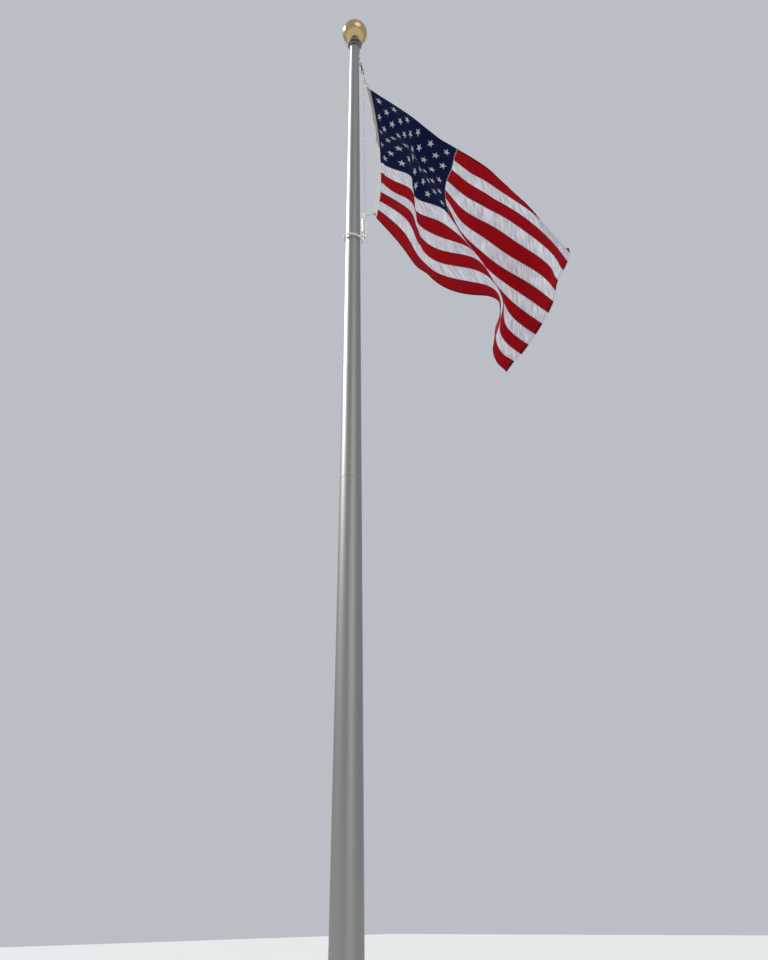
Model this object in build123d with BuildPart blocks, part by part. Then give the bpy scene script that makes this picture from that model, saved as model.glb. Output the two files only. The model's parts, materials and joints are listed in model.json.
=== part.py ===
from build123d import *
from math import atan2, cos, degrees, radians, sin, sqrt, tan
import os

# Ground-set flagpole: a cone-tapered aluminium shaft in two sections, a revolving truck with a ball,
# and the flag assembly that streams from the truck. Millimetres, +Z up, pole axis on Z, ground at
# z = 0. The flag streams towards +X, so the truck's slot, the lead, the snaps and the weight all lie
# in the plane y = 0.

os.makedirs("parts", exist_ok=True)

# Shaft
POLE_HEIGHT = 9144.0
BUTT_DIA = 203.2
TOP_DIA = 88.9
WALL = 4.78
JOINT_Z = 4115.0
JOINT_BEVEL = 1.6
SLEEVE_REACH = 305.0
SLEEVE_WALL = 6.0
SLEEVE_CLEARANCE = 0.10

# Spun ground cover
COVER_DIA = 508.0
COVER_HEIGHT = 150.0
COVER_SHEET = 3.0
COVER_NECK_CLEARANCE = 0.5
COVER_RIM = 6.0
COVER_FLARE = (60.0, 42.0)
COVER_THROAT = (26.0, 92.0)

# Access door, on the side that the flag never hides
DOOR_Z = 1320.0
DOOR_WIDTH = 96.0
DOOR_HEIGHT = 280.0
DOOR_CORNER = 40.0
DOOR_GAP = 1.0
DOOR_SETBACK = 0.3
FRAME_LAND = 10.0
FRAME_DEPTH = 9.0
FRAME_CLEARANCE = 0.15
LOCK_DIA = 19.0
LOCK_LENGTH = 24.0
LOCK_RISE = 95.0

# Pole cap with the spindle that the truck turns on
CAP_RIM = 14.0
CAP_PLUG_DEPTH = 90.0
CAP_CLEARANCE = 0.05
CAP_BEVEL = 3.0
SPINDLE_DIA = 44.0
SPINDLE_RISE = 56.0
HALYARD_BORE = 16.0
BEARING_HEIGHT = 9.0
BEARING_DIA = 66.0
BEARING_GROOVE = 2.6
RUN_CLEARANCE = 0.05
AXIAL_PLAY = 0.30

# Truck housing
FLANGE_RISE = 62.0
FLANGE_THICK = 13.0
FLANGE_DIA = 146.0
FLANGE_ROUND = 4.0
HUB_DIA = 72.0
HUB_FLARE = 8.0
SOCKET_ROOF = 2.0
SHOULDER_DIA = 124.0
SHOULDER_RISE = 7.0
NECK_DIA = 102.0
NECK_BEVEL = 6.0
TRUCK_HEIGHT = 78.0
SLOT_WIDTH = 18.0
SLOT_ROOF = 3.0
SLOT_REACH = 10.0
SLOT_SHOULDER = 8.0
SLOT_TOP_BACK = 24.0
SLOT_TOP_FRONT = 18.0

# Sheave: the wire rises on the pole axis and leaves at LEAD_X
LEAD_DIA = 4.8
LEAD_X = 67.0
SHEAVE_X = LEAD_X / 2
SHEAVE_RISE = 35.0
SHEAVE_WIDTH = 12.0
GROOVE_RADIUS = 3.4
SEAT_CLEARANCE = 0.4
SHEAVE_HOLES = 5
SHEAVE_HOLE_DIA = 10.0
SHEAVE_HOLE_CIRCLE = 38.0
AXLE_DIA = 9.5
AXLE_FIT = 0.02
AXLE_LENGTH = 100.0

# Ball
BALL_DIA = 254.0
BALL_SHEET = 2.0
BALL_GAP = 3.0
BALL_SEAM = 0.1
STEM_DIA = 12.7
STEM_LENGTH = 45.0
SEAT_DIA = 34.0
SEAT_LENGTH = 4.0

# Flag, cut 1829 by 3048 with its heading
FLY = 3048.0
HOIST = 1829.0
FLAG_DROP = 444.0
CLOTH = 3.0
SEAM_GAP = 1.9
HOLE_CLEARANCE = 0.2
HEADING_WIDTH = 42.0
HEADING_THICK = 8.0

# How the flag hangs: one row for each quarter of the hoist, from the top edge down. hoist_x is the
# heading's outer edge, bowed out by the wind. gather is the share of the row's length that its fine
# folds take up. depth (along Y) and lift (above the level at the heading, if it hung straight) stand
# at nine stations from the heading to the fly end, an eighth of the cloth apart.
ROW_HOIST_X = (165, 258, 297, 292, 228)
ROW_GATHER = (0.01, 0.025, 0.035, 0.055, 0.0)
ROW_DEPTH = (
    (0, -75, -135, -170, -260, -310, -385, -380, -410),
    (0, -215, -75, 10, 5, -140, -245, -320, -280),
    (0, -150, 110, 40, 120, 175, 165, 35, -70),
    (0, -55, 135, 140, -20, 40, 170, 345, 245),
    (0, 65, 190, 275, 145, -70, 170, 470, 565),
)
ROW_LIFT = (
    (0, 5, 15, 15, -60, -175, -245, -295, -385),
    (-5, 15, 45, 60, 10, -90, -190, -295, -310),
    (0, 20, 80, 80, 70, 50, 15, -130, -270),
    (5, 30, 80, 105, 95, 75, 50, 25, -150),
    (45, 35, 85, 130, 125, 110, 90, 65, -35),
)
GROMMET_INSET = 21.0
GROMMET_DROP = 32.0
GROMMET_DIA = 28.0
GROMMET_BORE = 13.0
GROMMET_BARREL = 20.0
GROMMET_ROLL = 2.4

# Turn of a bent rod's seam line, in degrees, so that it never lies where a body meets the rod
ROD_SEAM = 37.0

# Snap hooks: eye, waist, mouth and knob by the body's diameter, neck, collar and bow by the length
SNAP_EYE = 1.9
SNAP_EYE_WIDTH = 1.7
SNAP_WAIST = 0.72
SNAP_MOUTH = 0.84
SNAP_NECK = 0.05
SNAP_COLLAR = 0.045
SNAP_BOW = 0.34
SNAP_GROOVE = 1.4
SNAP_KNOB = 0.42
SNAP_KNOB_STAND = 0.36

# Hanging chain: eye on the lead, dark snap, then a bright link for the down line and a brass snap
# for the flag
FERRULE_DROP = 82.0
FERRULE_LENGTH = 34.0
FERRULE_DIA = 10.4
LINK_PLAY = 0.3
EYE_LENGTH = 46.0
EYE_WIDTH = 27.0
SNAP_LENGTH = 150.0
SNAP_WIDTH = 37.0
SNAP_ROD = 6.5
SNAP_BODY = 18.0
SNAP_LEAN = 16.0
LINK_LENGTH = 72.0
LINK_WIDTH = 27.0
LINK_ROD = 6.0
FLAG_SNAP_WIDTH = 37.0
FLAG_SNAP_ROD = 4.5
FLAG_SNAP_BODY = 13.0
PAIR_SHARE = 0.45

# Down line, with a small eye at each end
LINE_DIA = 4.4
LINE_EYE_LENGTH = 28.0
LINE_EYE_WIDTH = 20.0
LINE_EYE_ROD = 3.4

# Counterweight and the tie to the flag's lower grommet
WEIGHT_X = 136.0
WEIGHT_DROP = 87.0
WEIGHT_DIA = 52.0
WEIGHT_LENGTH = 156.0
WEIGHT_CONE = 22.0
WEIGHT_NOSE = 8.0
WEIGHT_FILLET = 5.0
EYE_ROD = 5.5
WEIGHT_EYE = 28.0
CLIP_ROD = 3.6
CLIP_LENGTH = 46.0
CLIP_WIDTH = 26.0
WEB_WIDTH = 15.0
WEB_THICK = 3.0

# Snap and long link under the weight
RING_SNAP_WIDTH = 24.0
RING_SNAP_ROD = 5.0
RING_SNAP_BODY = 13.0
RING_LINK_LENGTH = 80.0
RING_LINK_WIDTH = 26.0
RING_ROD = 5.5

# Beaded retainer ring
RING_DROP = 188.0
RING_CLEARANCE = 6.8
RING_TILT = 14.0
RING_POINT = 31.5
RING_CABLE = 4.4
RING_BEND = 6.0
RING_JOIN = 1.2
BEAD_DIA = 20.0
BEAD_STEP = 23.0


# Heights, worked up from the pole's top or down from it
spindle_top = POLE_HEIGHT + SPINDLE_RISE
flange_z = POLE_HEIGHT + FLANGE_RISE
truck_top = flange_z + TRUCK_HEIGHT
sheave_z = flange_z + SHEAVE_RISE
ball_bottom = truck_top + BALL_GAP
ferrule_top = POLE_HEIGHT - FERRULE_DROP
flag_top = POLE_HEIGHT - FLAG_DROP
weight_top = flag_top - HOIST - WEIGHT_DROP
weight_low = weight_top - WEIGHT_LENGTH
ring_z = weight_low - RING_DROP


def pole_radius(z):
    """Outer radius of the cone taper at height z."""
    return BUTT_DIA / 2 - (BUTT_DIA - TOP_DIA) / 2 * z / POLE_HEIGHT


def shell_profile(z_low, z_high, skin, depth):
    """Corners of a strip that follows the taper, from skin to skin plus depth below its surface."""
    return (
        (pole_radius(z_low) - skin - depth, z_low),
        (pole_radius(z_low) - skin, z_low),
        (pole_radius(z_high) - skin, z_high),
        (pole_radius(z_high) - skin - depth, z_high),
    )


def save(part, name):
    part.label = name
    export_step(part, "parts/" + name + ".step")


def aim(point, target, turned):
    """Plane at a point of the chain with its x axis towards the target. Turned: the link lies across."""
    along = Vector(target[0] - point[0], 0, target[1] - point[1]).normalized()
    across = Vector(0, 1, 0)
    normal = along.cross(across) if turned else across
    return Plane(origin=(point[0], 0, point[1]), x_dir=along, z_dir=normal)


def seat_rise(bow_radius, rod, side):
    """How much higher a rod sits in a bow when it lies to one side of its middle."""
    free = bow_radius - rod / 2
    return free - sqrt(free**2 - side**2)


def oval_link(plane, start, length, width, rod):
    """Closed link of round rod, from start to start + length along the plane's x axis."""
    low = start + width / 2
    high = start + length - width / 2
    middle = (low + high) / 2
    half = (width - rod) / 2
    with BuildPart() as link:
        with BuildLine(plane) as path:
            Line((middle, half), (high, half))
            ThreePointArc((high, half), (high + half, 0), (high, -half))
            Line((high, -half), (low, -half))
            ThreePointArc((low, -half), (low - half, 0), (low, half))
            Line((low, half), (middle, half))
        section = Plane(origin=plane.from_local_coords(Vector(middle, half, 0)), z_dir=plane.x_dir)
        with BuildSketch(section.rotated((0, 0, ROD_SEAM))):
            Circle(rod / 2)
        sweep(path=path.wires()[0])
    return link.part


def swivel_snap(plane, start, length, width, rod, body_dia, eye_plane=None):
    """Bolt snap along the plane's x axis: swivel eye, neck, collar, sleeve with its thumb knob, bow."""
    eye_length = SNAP_EYE * body_dia
    bow_length = SNAP_BOW * length
    waist = SNAP_WAIST * body_dia / 2
    neck_low = start + eye_length - rod / 2
    collar_low = neck_low + SNAP_NECK * length
    collar_high = collar_low + SNAP_COLLAR * length
    sleeve_low = collar_high + SNAP_GROOVE
    sleeve_high = start + length - bow_length + rod / 2
    sleeve_middle = (sleeve_low + sleeve_high) / 2
    with BuildPart() as snap:
        with BuildSketch(plane):
            Polygon(
                (neck_low, 0),
                (neck_low, waist),
                (collar_low, waist),
                (collar_low, body_dia / 2),
                (collar_high, body_dia / 2),
                (collar_high, waist),
                (sleeve_low, waist),
                (sleeve_low, body_dia / 2),
                (sleeve_middle, body_dia / 2),
                (sleeve_high, SNAP_MOUTH * body_dia / 2),
                (sleeve_high, 0),
                align=None,
            )
        revolve(axis=Axis(plane.origin, plane.x_dir))
        knob_foot = plane.from_local_coords(Vector(sleeve_middle, 0, 0))
        with BuildSketch(Plane(origin=knob_foot, x_dir=plane.x_dir, z_dir=plane.z_dir)):
            Circle(SNAP_KNOB * body_dia / 2)
        extrude(amount=(0.5 + SNAP_KNOB_STAND) * body_dia)
        add(oval_link(eye_plane or plane, start, eye_length, SNAP_EYE_WIDTH * body_dia, rod))
        add(oval_link(plane, start + length - bow_length, bow_length, width, rod))
    return snap.part


door_plane = Plane(origin=(0, 0, DOOR_Z), x_dir=(-1, 0, 0), z_dir=(0, 1, 0))
lock_z = DOOR_Z + LOCK_RISE

# Shaft sections: bevelled where they butt, which leaves the fine dark line
with BuildPart() as lower_shaft:
    with BuildSketch(Plane.XZ):
        Polygon(
            (pole_radius(0) - WALL, 0),
            (pole_radius(0), 0),
            (pole_radius(JOINT_Z - JOINT_BEVEL), JOINT_Z - JOINT_BEVEL),
            (pole_radius(JOINT_Z) - JOINT_BEVEL, JOINT_Z),
            (pole_radius(JOINT_Z) - WALL, JOINT_Z),
            align=None,
        )
    revolve(axis=Axis.Z)
    with BuildSketch(door_plane):
        RectangleRounded(DOOR_WIDTH, DOOR_HEIGHT, DOOR_CORNER)
    extrude(amount=BUTT_DIA, mode=Mode.SUBTRACT)

with BuildPart() as upper_shaft:
    with BuildSketch(Plane.XZ):
        Polygon(
            (pole_radius(JOINT_Z) - WALL, JOINT_Z),
            (pole_radius(JOINT_Z) - JOINT_BEVEL, JOINT_Z),
            (pole_radius(JOINT_Z + JOINT_BEVEL), JOINT_Z + JOINT_BEVEL),
            (pole_radius(POLE_HEIGHT), POLE_HEIGHT),
            (pole_radius(POLE_HEIGHT) - WALL, POLE_HEIGHT),
            align=None,
        )
    revolve(axis=Axis.Z)

with BuildPart() as joint_sleeve:
    with BuildSketch(Plane.XZ):
        Polygon(
            *shell_profile(JOINT_Z - SLEEVE_REACH, JOINT_Z + SLEEVE_REACH, WALL + SLEEVE_CLEARANCE, SLEEVE_WALL),
            align=None,
        )
    revolve(axis=Axis.Z)

# Spun ground cover: a flared dish with a flat rim and a neck round the shaft
with BuildPart() as ground_cover:
    neck_r = pole_radius(COVER_HEIGHT) + COVER_NECK_CLEARANCE
    rim_r = COVER_DIA / 2
    with BuildSketch(Plane.XZ):
        with BuildLine():
            outer = Spline(
                (rim_r - COVER_SHEET, COVER_RIM),
                (rim_r - COVER_FLARE[0], COVER_FLARE[1]),
                (neck_r + COVER_THROAT[0], COVER_THROAT[1]),
                (neck_r + COVER_SHEET, COVER_HEIGHT),
                tangents=((-1, 0.25), (0, 1)),
            )
            Line(outer @ 1, (neck_r, COVER_HEIGHT))
            inner = Spline(
                (neck_r, COVER_HEIGHT),
                (neck_r + COVER_THROAT[0] - COVER_SHEET, COVER_THROAT[1] - COVER_SHEET / 3),
                (rim_r - COVER_FLARE[0] - COVER_SHEET / 2, COVER_FLARE[1] - COVER_SHEET),
                (rim_r - 3 * COVER_SHEET, COVER_RIM - COVER_SHEET),
                tangents=((0, -1), (1, -0.25)),
            )
            Polyline(
                inner @ 1,
                (rim_r - 3 * COVER_SHEET, 0),
                (rim_r, 0),
                (rim_r, COVER_RIM - COVER_SHEET / 2),
                outer @ 0,
            )
        make_face()
    revolve(axis=Axis.Z)

# Door: frame welded inside the opening, curved plate flush with the shaft, key lock
with BuildPart() as door_frame:
    with BuildSketch(Plane.XZ):
        Polygon(*shell_profile(DOOR_Z - 220, DOOR_Z + 220, WALL + FRAME_CLEARANCE, FRAME_DEPTH), align=None)
    revolve(axis=Axis.Z)
    with BuildSketch(door_plane):
        RectangleRounded(DOOR_WIDTH + 2 * FRAME_LAND, DOOR_HEIGHT + 2 * FRAME_LAND, DOOR_CORNER + FRAME_LAND)
        RectangleRounded(
            DOOR_WIDTH - 2 * FRAME_LAND, DOOR_HEIGHT - 2 * FRAME_LAND, DOOR_CORNER - FRAME_LAND, mode=Mode.SUBTRACT
        )
    extrude(amount=BUTT_DIA, mode=Mode.INTERSECT)

with BuildPart() as access_door:
    with BuildSketch(Plane.XZ):
        Polygon(*shell_profile(DOOR_Z - 220, DOOR_Z + 220, DOOR_SETBACK, WALL - DOOR_SETBACK), align=None)
    revolve(axis=Axis.Z)
    with BuildSketch(door_plane):
        RectangleRounded(DOOR_WIDTH - 2 * DOOR_GAP, DOOR_HEIGHT - 2 * DOOR_GAP, DOOR_CORNER - DOOR_GAP)
    extrude(amount=BUTT_DIA, mode=Mode.INTERSECT)
    with BuildSketch(Plane(origin=(0, 0, lock_z), x_dir=(-1, 0, 0), z_dir=(0, 1, 0))):
        Circle(LOCK_DIA / 2 + 0.1)
    extrude(amount=BUTT_DIA, mode=Mode.SUBTRACT)

with BuildPart() as door_lock:
    lock_plane = Plane(origin=(0, pole_radius(lock_z) + 1.0, lock_z), x_dir=(1, 0, 0), z_dir=(0, -1, 0))
    with BuildSketch(lock_plane):
        Circle(LOCK_DIA / 2)
    extrude(amount=LOCK_LENGTH)
    with BuildSketch(lock_plane):
        Rectangle(2.2, 9)
    extrude(amount=6, mode=Mode.SUBTRACT)

# Pole cap: plug in the shaft's mouth, rim on its end, hollow spindle for the truck
rim_top = POLE_HEIGHT + CAP_RIM
with BuildPart() as pole_cap:
    mouth = pole_radius(POLE_HEIGHT) - WALL - CAP_CLEARANCE
    with BuildSketch(Plane.XZ):
        Polygon(
            (HALYARD_BORE / 2, POLE_HEIGHT - CAP_PLUG_DEPTH),
            (mouth - 2, POLE_HEIGHT - CAP_PLUG_DEPTH),
            (mouth, POLE_HEIGHT - CAP_PLUG_DEPTH + 8),
            (mouth, POLE_HEIGHT),
            (TOP_DIA / 2, POLE_HEIGHT),
            (TOP_DIA / 2, rim_top - CAP_BEVEL),
            (TOP_DIA / 2 - CAP_BEVEL, rim_top),
            (SPINDLE_DIA / 2, rim_top),
            (SPINDLE_DIA / 2, spindle_top),
            (HALYARD_BORE / 2, spindle_top),
            align=None,
        )
    revolve(axis=Axis.Z)

with BuildPart() as thrust_bearing:
    inner_r = SPINDLE_DIA / 2 + RUN_CLEARANCE
    with Locations((0, 0, rim_top)):
        Cylinder(BEARING_DIA / 2, BEARING_HEIGHT, align=(Align.CENTER, Align.CENTER, Align.MIN))
        Cylinder(inner_r, BEARING_HEIGHT, align=(Align.CENTER, Align.CENTER, Align.MIN), mode=Mode.SUBTRACT)
    with Locations((0, 0, rim_top + BEARING_HEIGHT / 2)):
        Torus(BEARING_DIA / 2, BEARING_GROOVE / 2, mode=Mode.SUBTRACT)

# Truck housing: hub on the spindle, wide flange, coned body, open slot for the sheave
hub_low = rim_top + BEARING_HEIGHT + AXIAL_PLAY
with BuildPart() as truck_housing:
    with BuildSketch(Plane.XZ):
        Polygon(
            (SPINDLE_DIA / 2 + RUN_CLEARANCE, hub_low),
            (HUB_DIA / 2, hub_low),
            (HUB_DIA / 2, flange_z - HUB_FLARE),
            (HUB_DIA / 2 + HUB_FLARE, flange_z),
            (FLANGE_DIA / 2, flange_z),
            (FLANGE_DIA / 2, flange_z + FLANGE_THICK),
            (SHOULDER_DIA / 2, flange_z + FLANGE_THICK + SHOULDER_RISE),
            (NECK_DIA / 2, truck_top - NECK_BEVEL),
            (NECK_DIA / 2 - NECK_BEVEL, truck_top),
            (0, truck_top),
            (0, flange_z + SOCKET_ROOF),
            (SPINDLE_DIA / 2 + RUN_CLEARANCE, flange_z + SOCKET_ROOF),
            align=None,
        )
    revolve(axis=Axis.Z)
    rim_edges = truck_housing.edges().filter_by(GeomType.CIRCLE)
    fillet([e for e in rim_edges if abs(e.radius - FLANGE_DIA / 2) < 0.1], radius=FLANGE_ROUND)
    with BuildSketch(Plane.XZ.offset(-SLOT_WIDTH / 2)):
        Polygon(
            (-SLOT_REACH, flange_z - 1),
            (-SLOT_REACH, sheave_z + SLOT_SHOULDER),
            (SHEAVE_X - SLOT_TOP_BACK, truck_top - SLOT_ROOF),
            (SHEAVE_X + SLOT_TOP_FRONT, truck_top - SLOT_ROOF),
            (FLANGE_DIA / 2 + 2, sheave_z + SLOT_SHOULDER),
            (FLANGE_DIA / 2 + 2, flange_z - 1),
            align=None,
        )
    extrude(amount=SLOT_WIDTH, mode=Mode.SUBTRACT)
    with BuildSketch(Plane.XZ.offset(-FLANGE_DIA / 2)):
        with Locations((SHEAVE_X, sheave_z)):
            Circle(AXLE_DIA / 2 + AXLE_FIT)
    extrude(amount=FLANGE_DIA, mode=Mode.SUBTRACT)

# Sheave and its axle
seat_r = SHEAVE_X - LEAD_DIA / 2 - SEAT_CLEARANCE
sheave_r = seat_r + GROOVE_RADIUS
with BuildPart() as sheave:
    with BuildSketch(Plane.XZ.offset(-SHEAVE_WIDTH / 2)):
        with Locations((SHEAVE_X, sheave_z)):
            Circle(sheave_r)
            Circle(AXLE_DIA / 2 + RUN_CLEARANCE, mode=Mode.SUBTRACT)
            with PolarLocations(SHEAVE_HOLE_CIRCLE / 2, SHEAVE_HOLES):
                Circle(SHEAVE_HOLE_DIA / 2, mode=Mode.SUBTRACT)
    extrude(amount=SHEAVE_WIDTH)
    with Locations(Location((SHEAVE_X, 0, sheave_z), (90, 0, 0))):
        Torus(sheave_r, GROOVE_RADIUS, mode=Mode.SUBTRACT)

with BuildPart() as sheave_axle:
    with BuildSketch(Plane.XZ.offset(-AXLE_LENGTH / 2)):
        with Locations((SHEAVE_X, sheave_z)):
            Circle(AXLE_DIA / 2)
    extrude(amount=AXLE_LENGTH)

# Ball: two spun halves on a threaded stem with a round seat
ball_z = ball_bottom + BALL_DIA / 2
with BuildPart() as ball_stem:
    with Locations((0, 0, truck_top)):
        Cylinder(SEAT_DIA / 2, SEAT_LENGTH, align=(Align.CENTER, Align.CENTER, Align.MIN))
        Cylinder(STEM_DIA / 2, STEM_LENGTH, align=(Align.CENTER, Align.CENTER, Align.MIN))

with BuildPart() as ball_lower:
    with Locations((0, 0, ball_z)):
        Sphere(BALL_DIA / 2)
        Sphere(BALL_DIA / 2 - BALL_SHEET, mode=Mode.SUBTRACT)
    split(bisect_by=Plane.XY.offset(ball_z), keep=Keep.BOTTOM)
    with Locations((0, 0, ball_bottom)):
        Cylinder(SEAT_DIA / 2 + BALL_SEAM, 6 * BALL_SHEET, mode=Mode.SUBTRACT)

with BuildPart() as ball_upper:
    with Locations((0, 0, ball_z)):
        Sphere(BALL_DIA / 2)
        Sphere(BALL_DIA / 2 - BALL_SHEET, mode=Mode.SUBTRACT)
    split(bisect_by=Plane.XY.offset(ball_z + BALL_SEAM), keep=Keep.TOP)

# Wire lead: up through the spindle, over the sheave, down to the ferrule
with BuildPart() as halyard_lead:
    with BuildLine():
        rise = Line((0, 0, POLE_HEIGHT - 80), (0, 0, sheave_z))
        over = ThreePointArc(rise @ 1, (SHEAVE_X, 0, sheave_z + SHEAVE_X), (LEAD_X, 0, sheave_z))
        Line(over @ 1, (LEAD_X, 0, ferrule_top))
    with BuildSketch(Plane(origin=rise @ 0, z_dir=(0, 0, 1))):
        Circle(LEAD_DIA / 2)
    sweep()

with BuildPart() as lead_ferrule:
    with Locations((LEAD_X, 0, ferrule_top)):
        Cylinder(FERRULE_DIA / 2, FERRULE_LENGTH, align=(Align.CENTER, Align.CENTER, Align.MAX))
    chamfer(lead_ferrule.edges(), length=1.4)


def cloth_row(row):
    """Stations of one row. The cloth keeps its length, so a deep fold draws the fly end in."""
    start = ROW_HOIST_X[row] + HEADING_WIDTH + SEAM_GAP
    level = flag_top - HOIST * row / (len(ROW_HOIST_X) - 1)
    depths = ROW_DEPTH[row]
    lifts = ROW_LIFT[row]
    span = (FLY - HEADING_WIDTH) / (len(depths) - 1)
    stations = [Vector(start, depths[0], level + lifts[0])]
    for i in range(1, len(depths)):
        run = sqrt(span**2 - (depths[i] - depths[i - 1]) ** 2 - (lifts[i] - lifts[i - 1]) ** 2)
        step = run * (1 - ROW_GATHER[row])
        stations.append(Vector(stations[-1].X + step, depths[i], level + lifts[i]))
    return stations


# Cloth: one hung sheet from the heading to the fly end
cloth_rows = [cloth_row(row) for row in range(len(ROW_HOIST_X))]
cloth_face = Face.make_surface_from_array_of_points(cloth_rows, tol=0.5, min_deg=3, max_deg=3)
with BuildPart() as flag_cloth:
    thicken(cloth_face, amount=CLOTH / 2, both=True)

# Heading: folded canvas, bowed with the hoist, with a hole for a grommet near each end
cloth_edge = cloth_face.edges().sort_by(Axis.X)[0]
seam_points = [(point.X - SEAM_GAP, point.Z) for point in (cloth_edge @ (i / 8) for i in range(9))]
hoist_points = [(x - HEADING_WIDTH, z) for x, z in seam_points]
hoist_edge = Edge.make_spline([Vector(x, 0, z) for x, z in hoist_points])
if (hoist_edge @ 0).Z < (hoist_edge @ 1).Z:
    hoist_edge = Edge.make_spline([Vector(x, 0, z) for x, z in reversed(hoist_points)])
top_hole = hoist_edge.position_at(GROMMET_DROP, position_mode=PositionMode.LENGTH)
bottom_hole = hoist_edge.position_at(hoist_edge.length - GROMMET_DROP, position_mode=PositionMode.LENGTH)
top_hole = top_hole + Vector(GROMMET_INSET, 0, 0)
bottom_hole = bottom_hole + Vector(GROMMET_INSET, 0, 0)
with BuildPart() as flag_heading:
    with BuildSketch(Plane.XZ):
        with BuildLine():
            outer_edge = Spline(*hoist_points)
            inner_edge = Spline(*seam_points)
            Line(outer_edge @ 0, inner_edge @ 0)
            Line(outer_edge @ 1, inner_edge @ 1)
        make_face()
        with Locations((top_hole.X, top_hole.Z), (bottom_hole.X, bottom_hole.Z)):
            Circle(GROMMET_BARREL / 2 + HOLE_CLEARANCE, mode=Mode.SUBTRACT)
    extrude(amount=HEADING_THICK / 2, both=True)


def grommet(hole):
    """Barrel through the heading with a rolled flange on each face."""
    face_y = HEADING_THICK / 2 + LINK_PLAY
    with BuildPart() as eyelet:
        with BuildSketch(Plane.XY):
            Polygon(
                (GROMMET_BORE / 2, -face_y - GROMMET_ROLL),
                (GROMMET_DIA / 2, -face_y - GROMMET_ROLL / 3),
                (GROMMET_DIA / 2, -face_y),
                (GROMMET_BARREL / 2, -face_y),
                (GROMMET_BARREL / 2, face_y),
                (GROMMET_DIA / 2, face_y),
                (GROMMET_DIA / 2, face_y + GROMMET_ROLL / 3),
                (GROMMET_BORE / 2, face_y + GROMMET_ROLL),
                align=None,
            )
        revolve(axis=Axis.Y)
    return eyelet.part.moved(Location((hole.X, 0, hole.Z)))


top_grommet = grommet(top_hole)
bottom_grommet = grommet(bottom_hole)

# Dark snap on the lead's eye: it leans out with the flag's pull
lean = radians(SNAP_LEAN)
eye_z = ferrule_top - FERRULE_LENGTH - LINK_PLAY - EYE_WIDTH / 2 * (1 - cos(lean))
lean_end = (LEAD_X + 100 * sin(lean), eye_z - 100 * cos(lean))
snap_start = EYE_LENGTH - LEAD_DIA - LINK_PLAY - SNAP_ROD
snap_inside = snap_start + SNAP_LENGTH - SNAP_ROD - LINK_PLAY
lead_eye = oval_link(aim((LEAD_X, eye_z), lean_end, False), 0, EYE_LENGTH, EYE_WIDTH, LEAD_DIA)
top_snap = swivel_snap(
    aim((LEAD_X, eye_z), lean_end, True), snap_start, SNAP_LENGTH, SNAP_WIDTH, SNAP_ROD, SNAP_BODY
)

# Bright link, hanging straight down beside the brass snap in the dark snap's bow
bow_radius = SNAP_WIDTH / 2 - SNAP_ROD
bow_x = LEAD_X + snap_inside * sin(lean)
bow_z = eye_z - snap_inside * cos(lean)
pair_step = (FLAG_SNAP_BODY + LINK_ROD) / 2 + LINK_PLAY
link_y = -pair_step * (1 - PAIR_SHARE)
link_top = bow_z + LINK_ROD + seat_rise(bow_radius, LINK_ROD, link_y)
link_plane = Plane(origin=(bow_x, link_y, link_top), x_dir=(0, 0, -1), z_dir=(0, 1, 0))
top_link = oval_link(link_plane, 0, LINK_LENGTH, LINK_WIDTH, LINK_ROD)

# Brass snap from the same bow to the upper grommet
flag_y = pair_step * PAIR_SHARE
reach = Vector(top_hole.X - bow_x, 0, top_hole.Z - bow_z)
flag_rise = seat_rise(bow_radius, FLAG_SNAP_ROD, flag_y)
flag_plane = Plane(origin=(bow_x, flag_y, bow_z), x_dir=reach.normalized(), z_dir=(0, 1, 0))
flag_across = Plane(origin=flag_plane.origin, x_dir=flag_plane.x_dir, z_dir=flag_plane.y_dir)
flag_snap_start = -FLAG_SNAP_ROD - flag_rise
grommet_face = HEADING_THICK / 2 + LINK_PLAY + GROMMET_ROLL
flag_snap_sag = seat_rise(FLAG_SNAP_WIDTH / 2 - FLAG_SNAP_ROD, 0, grommet_face + flag_y)
flag_snap_end = reach.length - GROMMET_BORE / 2 + LINK_PLAY + FLAG_SNAP_ROD + flag_snap_sag
flag_snap = swivel_snap(
    flag_across,
    flag_snap_start,
    flag_snap_end - flag_snap_start,
    FLAG_SNAP_WIDTH,
    FLAG_SNAP_ROD,
    FLAG_SNAP_BODY,
    flag_plane,
)

# Counterweight: coated cylinder with coned ends and an eye top and bottom
with BuildPart() as weight_form:
    with BuildSketch(Plane.XZ):
        Polygon(
            (0, weight_low - WEIGHT_CONE),
            (WEIGHT_NOSE, weight_low - WEIGHT_CONE),
            (WEIGHT_DIA / 2, weight_low),
            (WEIGHT_DIA / 2, weight_top),
            (WEIGHT_NOSE, weight_top + WEIGHT_CONE),
            (0, weight_top + WEIGHT_CONE),
            align=None,
        )
    revolve(axis=Axis.Z)
    round_edges = weight_form.edges().filter_by(GeomType.CIRCLE)
    fillet([e for e in round_edges if abs(e.radius - WEIGHT_DIA / 2) < 0.1], radius=WEIGHT_FILLET)
counterweight = weight_form.part.moved(Location((WEIGHT_X, 0, 0)))

upper_eye_z = weight_top + WEIGHT_CONE + LINK_PLAY
lower_eye_z = weight_low - WEIGHT_CONE - LINK_PLAY
upward = aim((WEIGHT_X, upper_eye_z), (WEIGHT_X, upper_eye_z + 100), False)
downward = aim((WEIGHT_X, lower_eye_z), (WEIGHT_X, lower_eye_z - 100), False)
weight_top_eye = oval_link(upward, 0, WEIGHT_EYE + 2, WEIGHT_EYE, EYE_ROD)
weight_bottom_eye = oval_link(downward, 0, WEIGHT_EYE + 2, WEIGHT_EYE, EYE_ROD)

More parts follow.
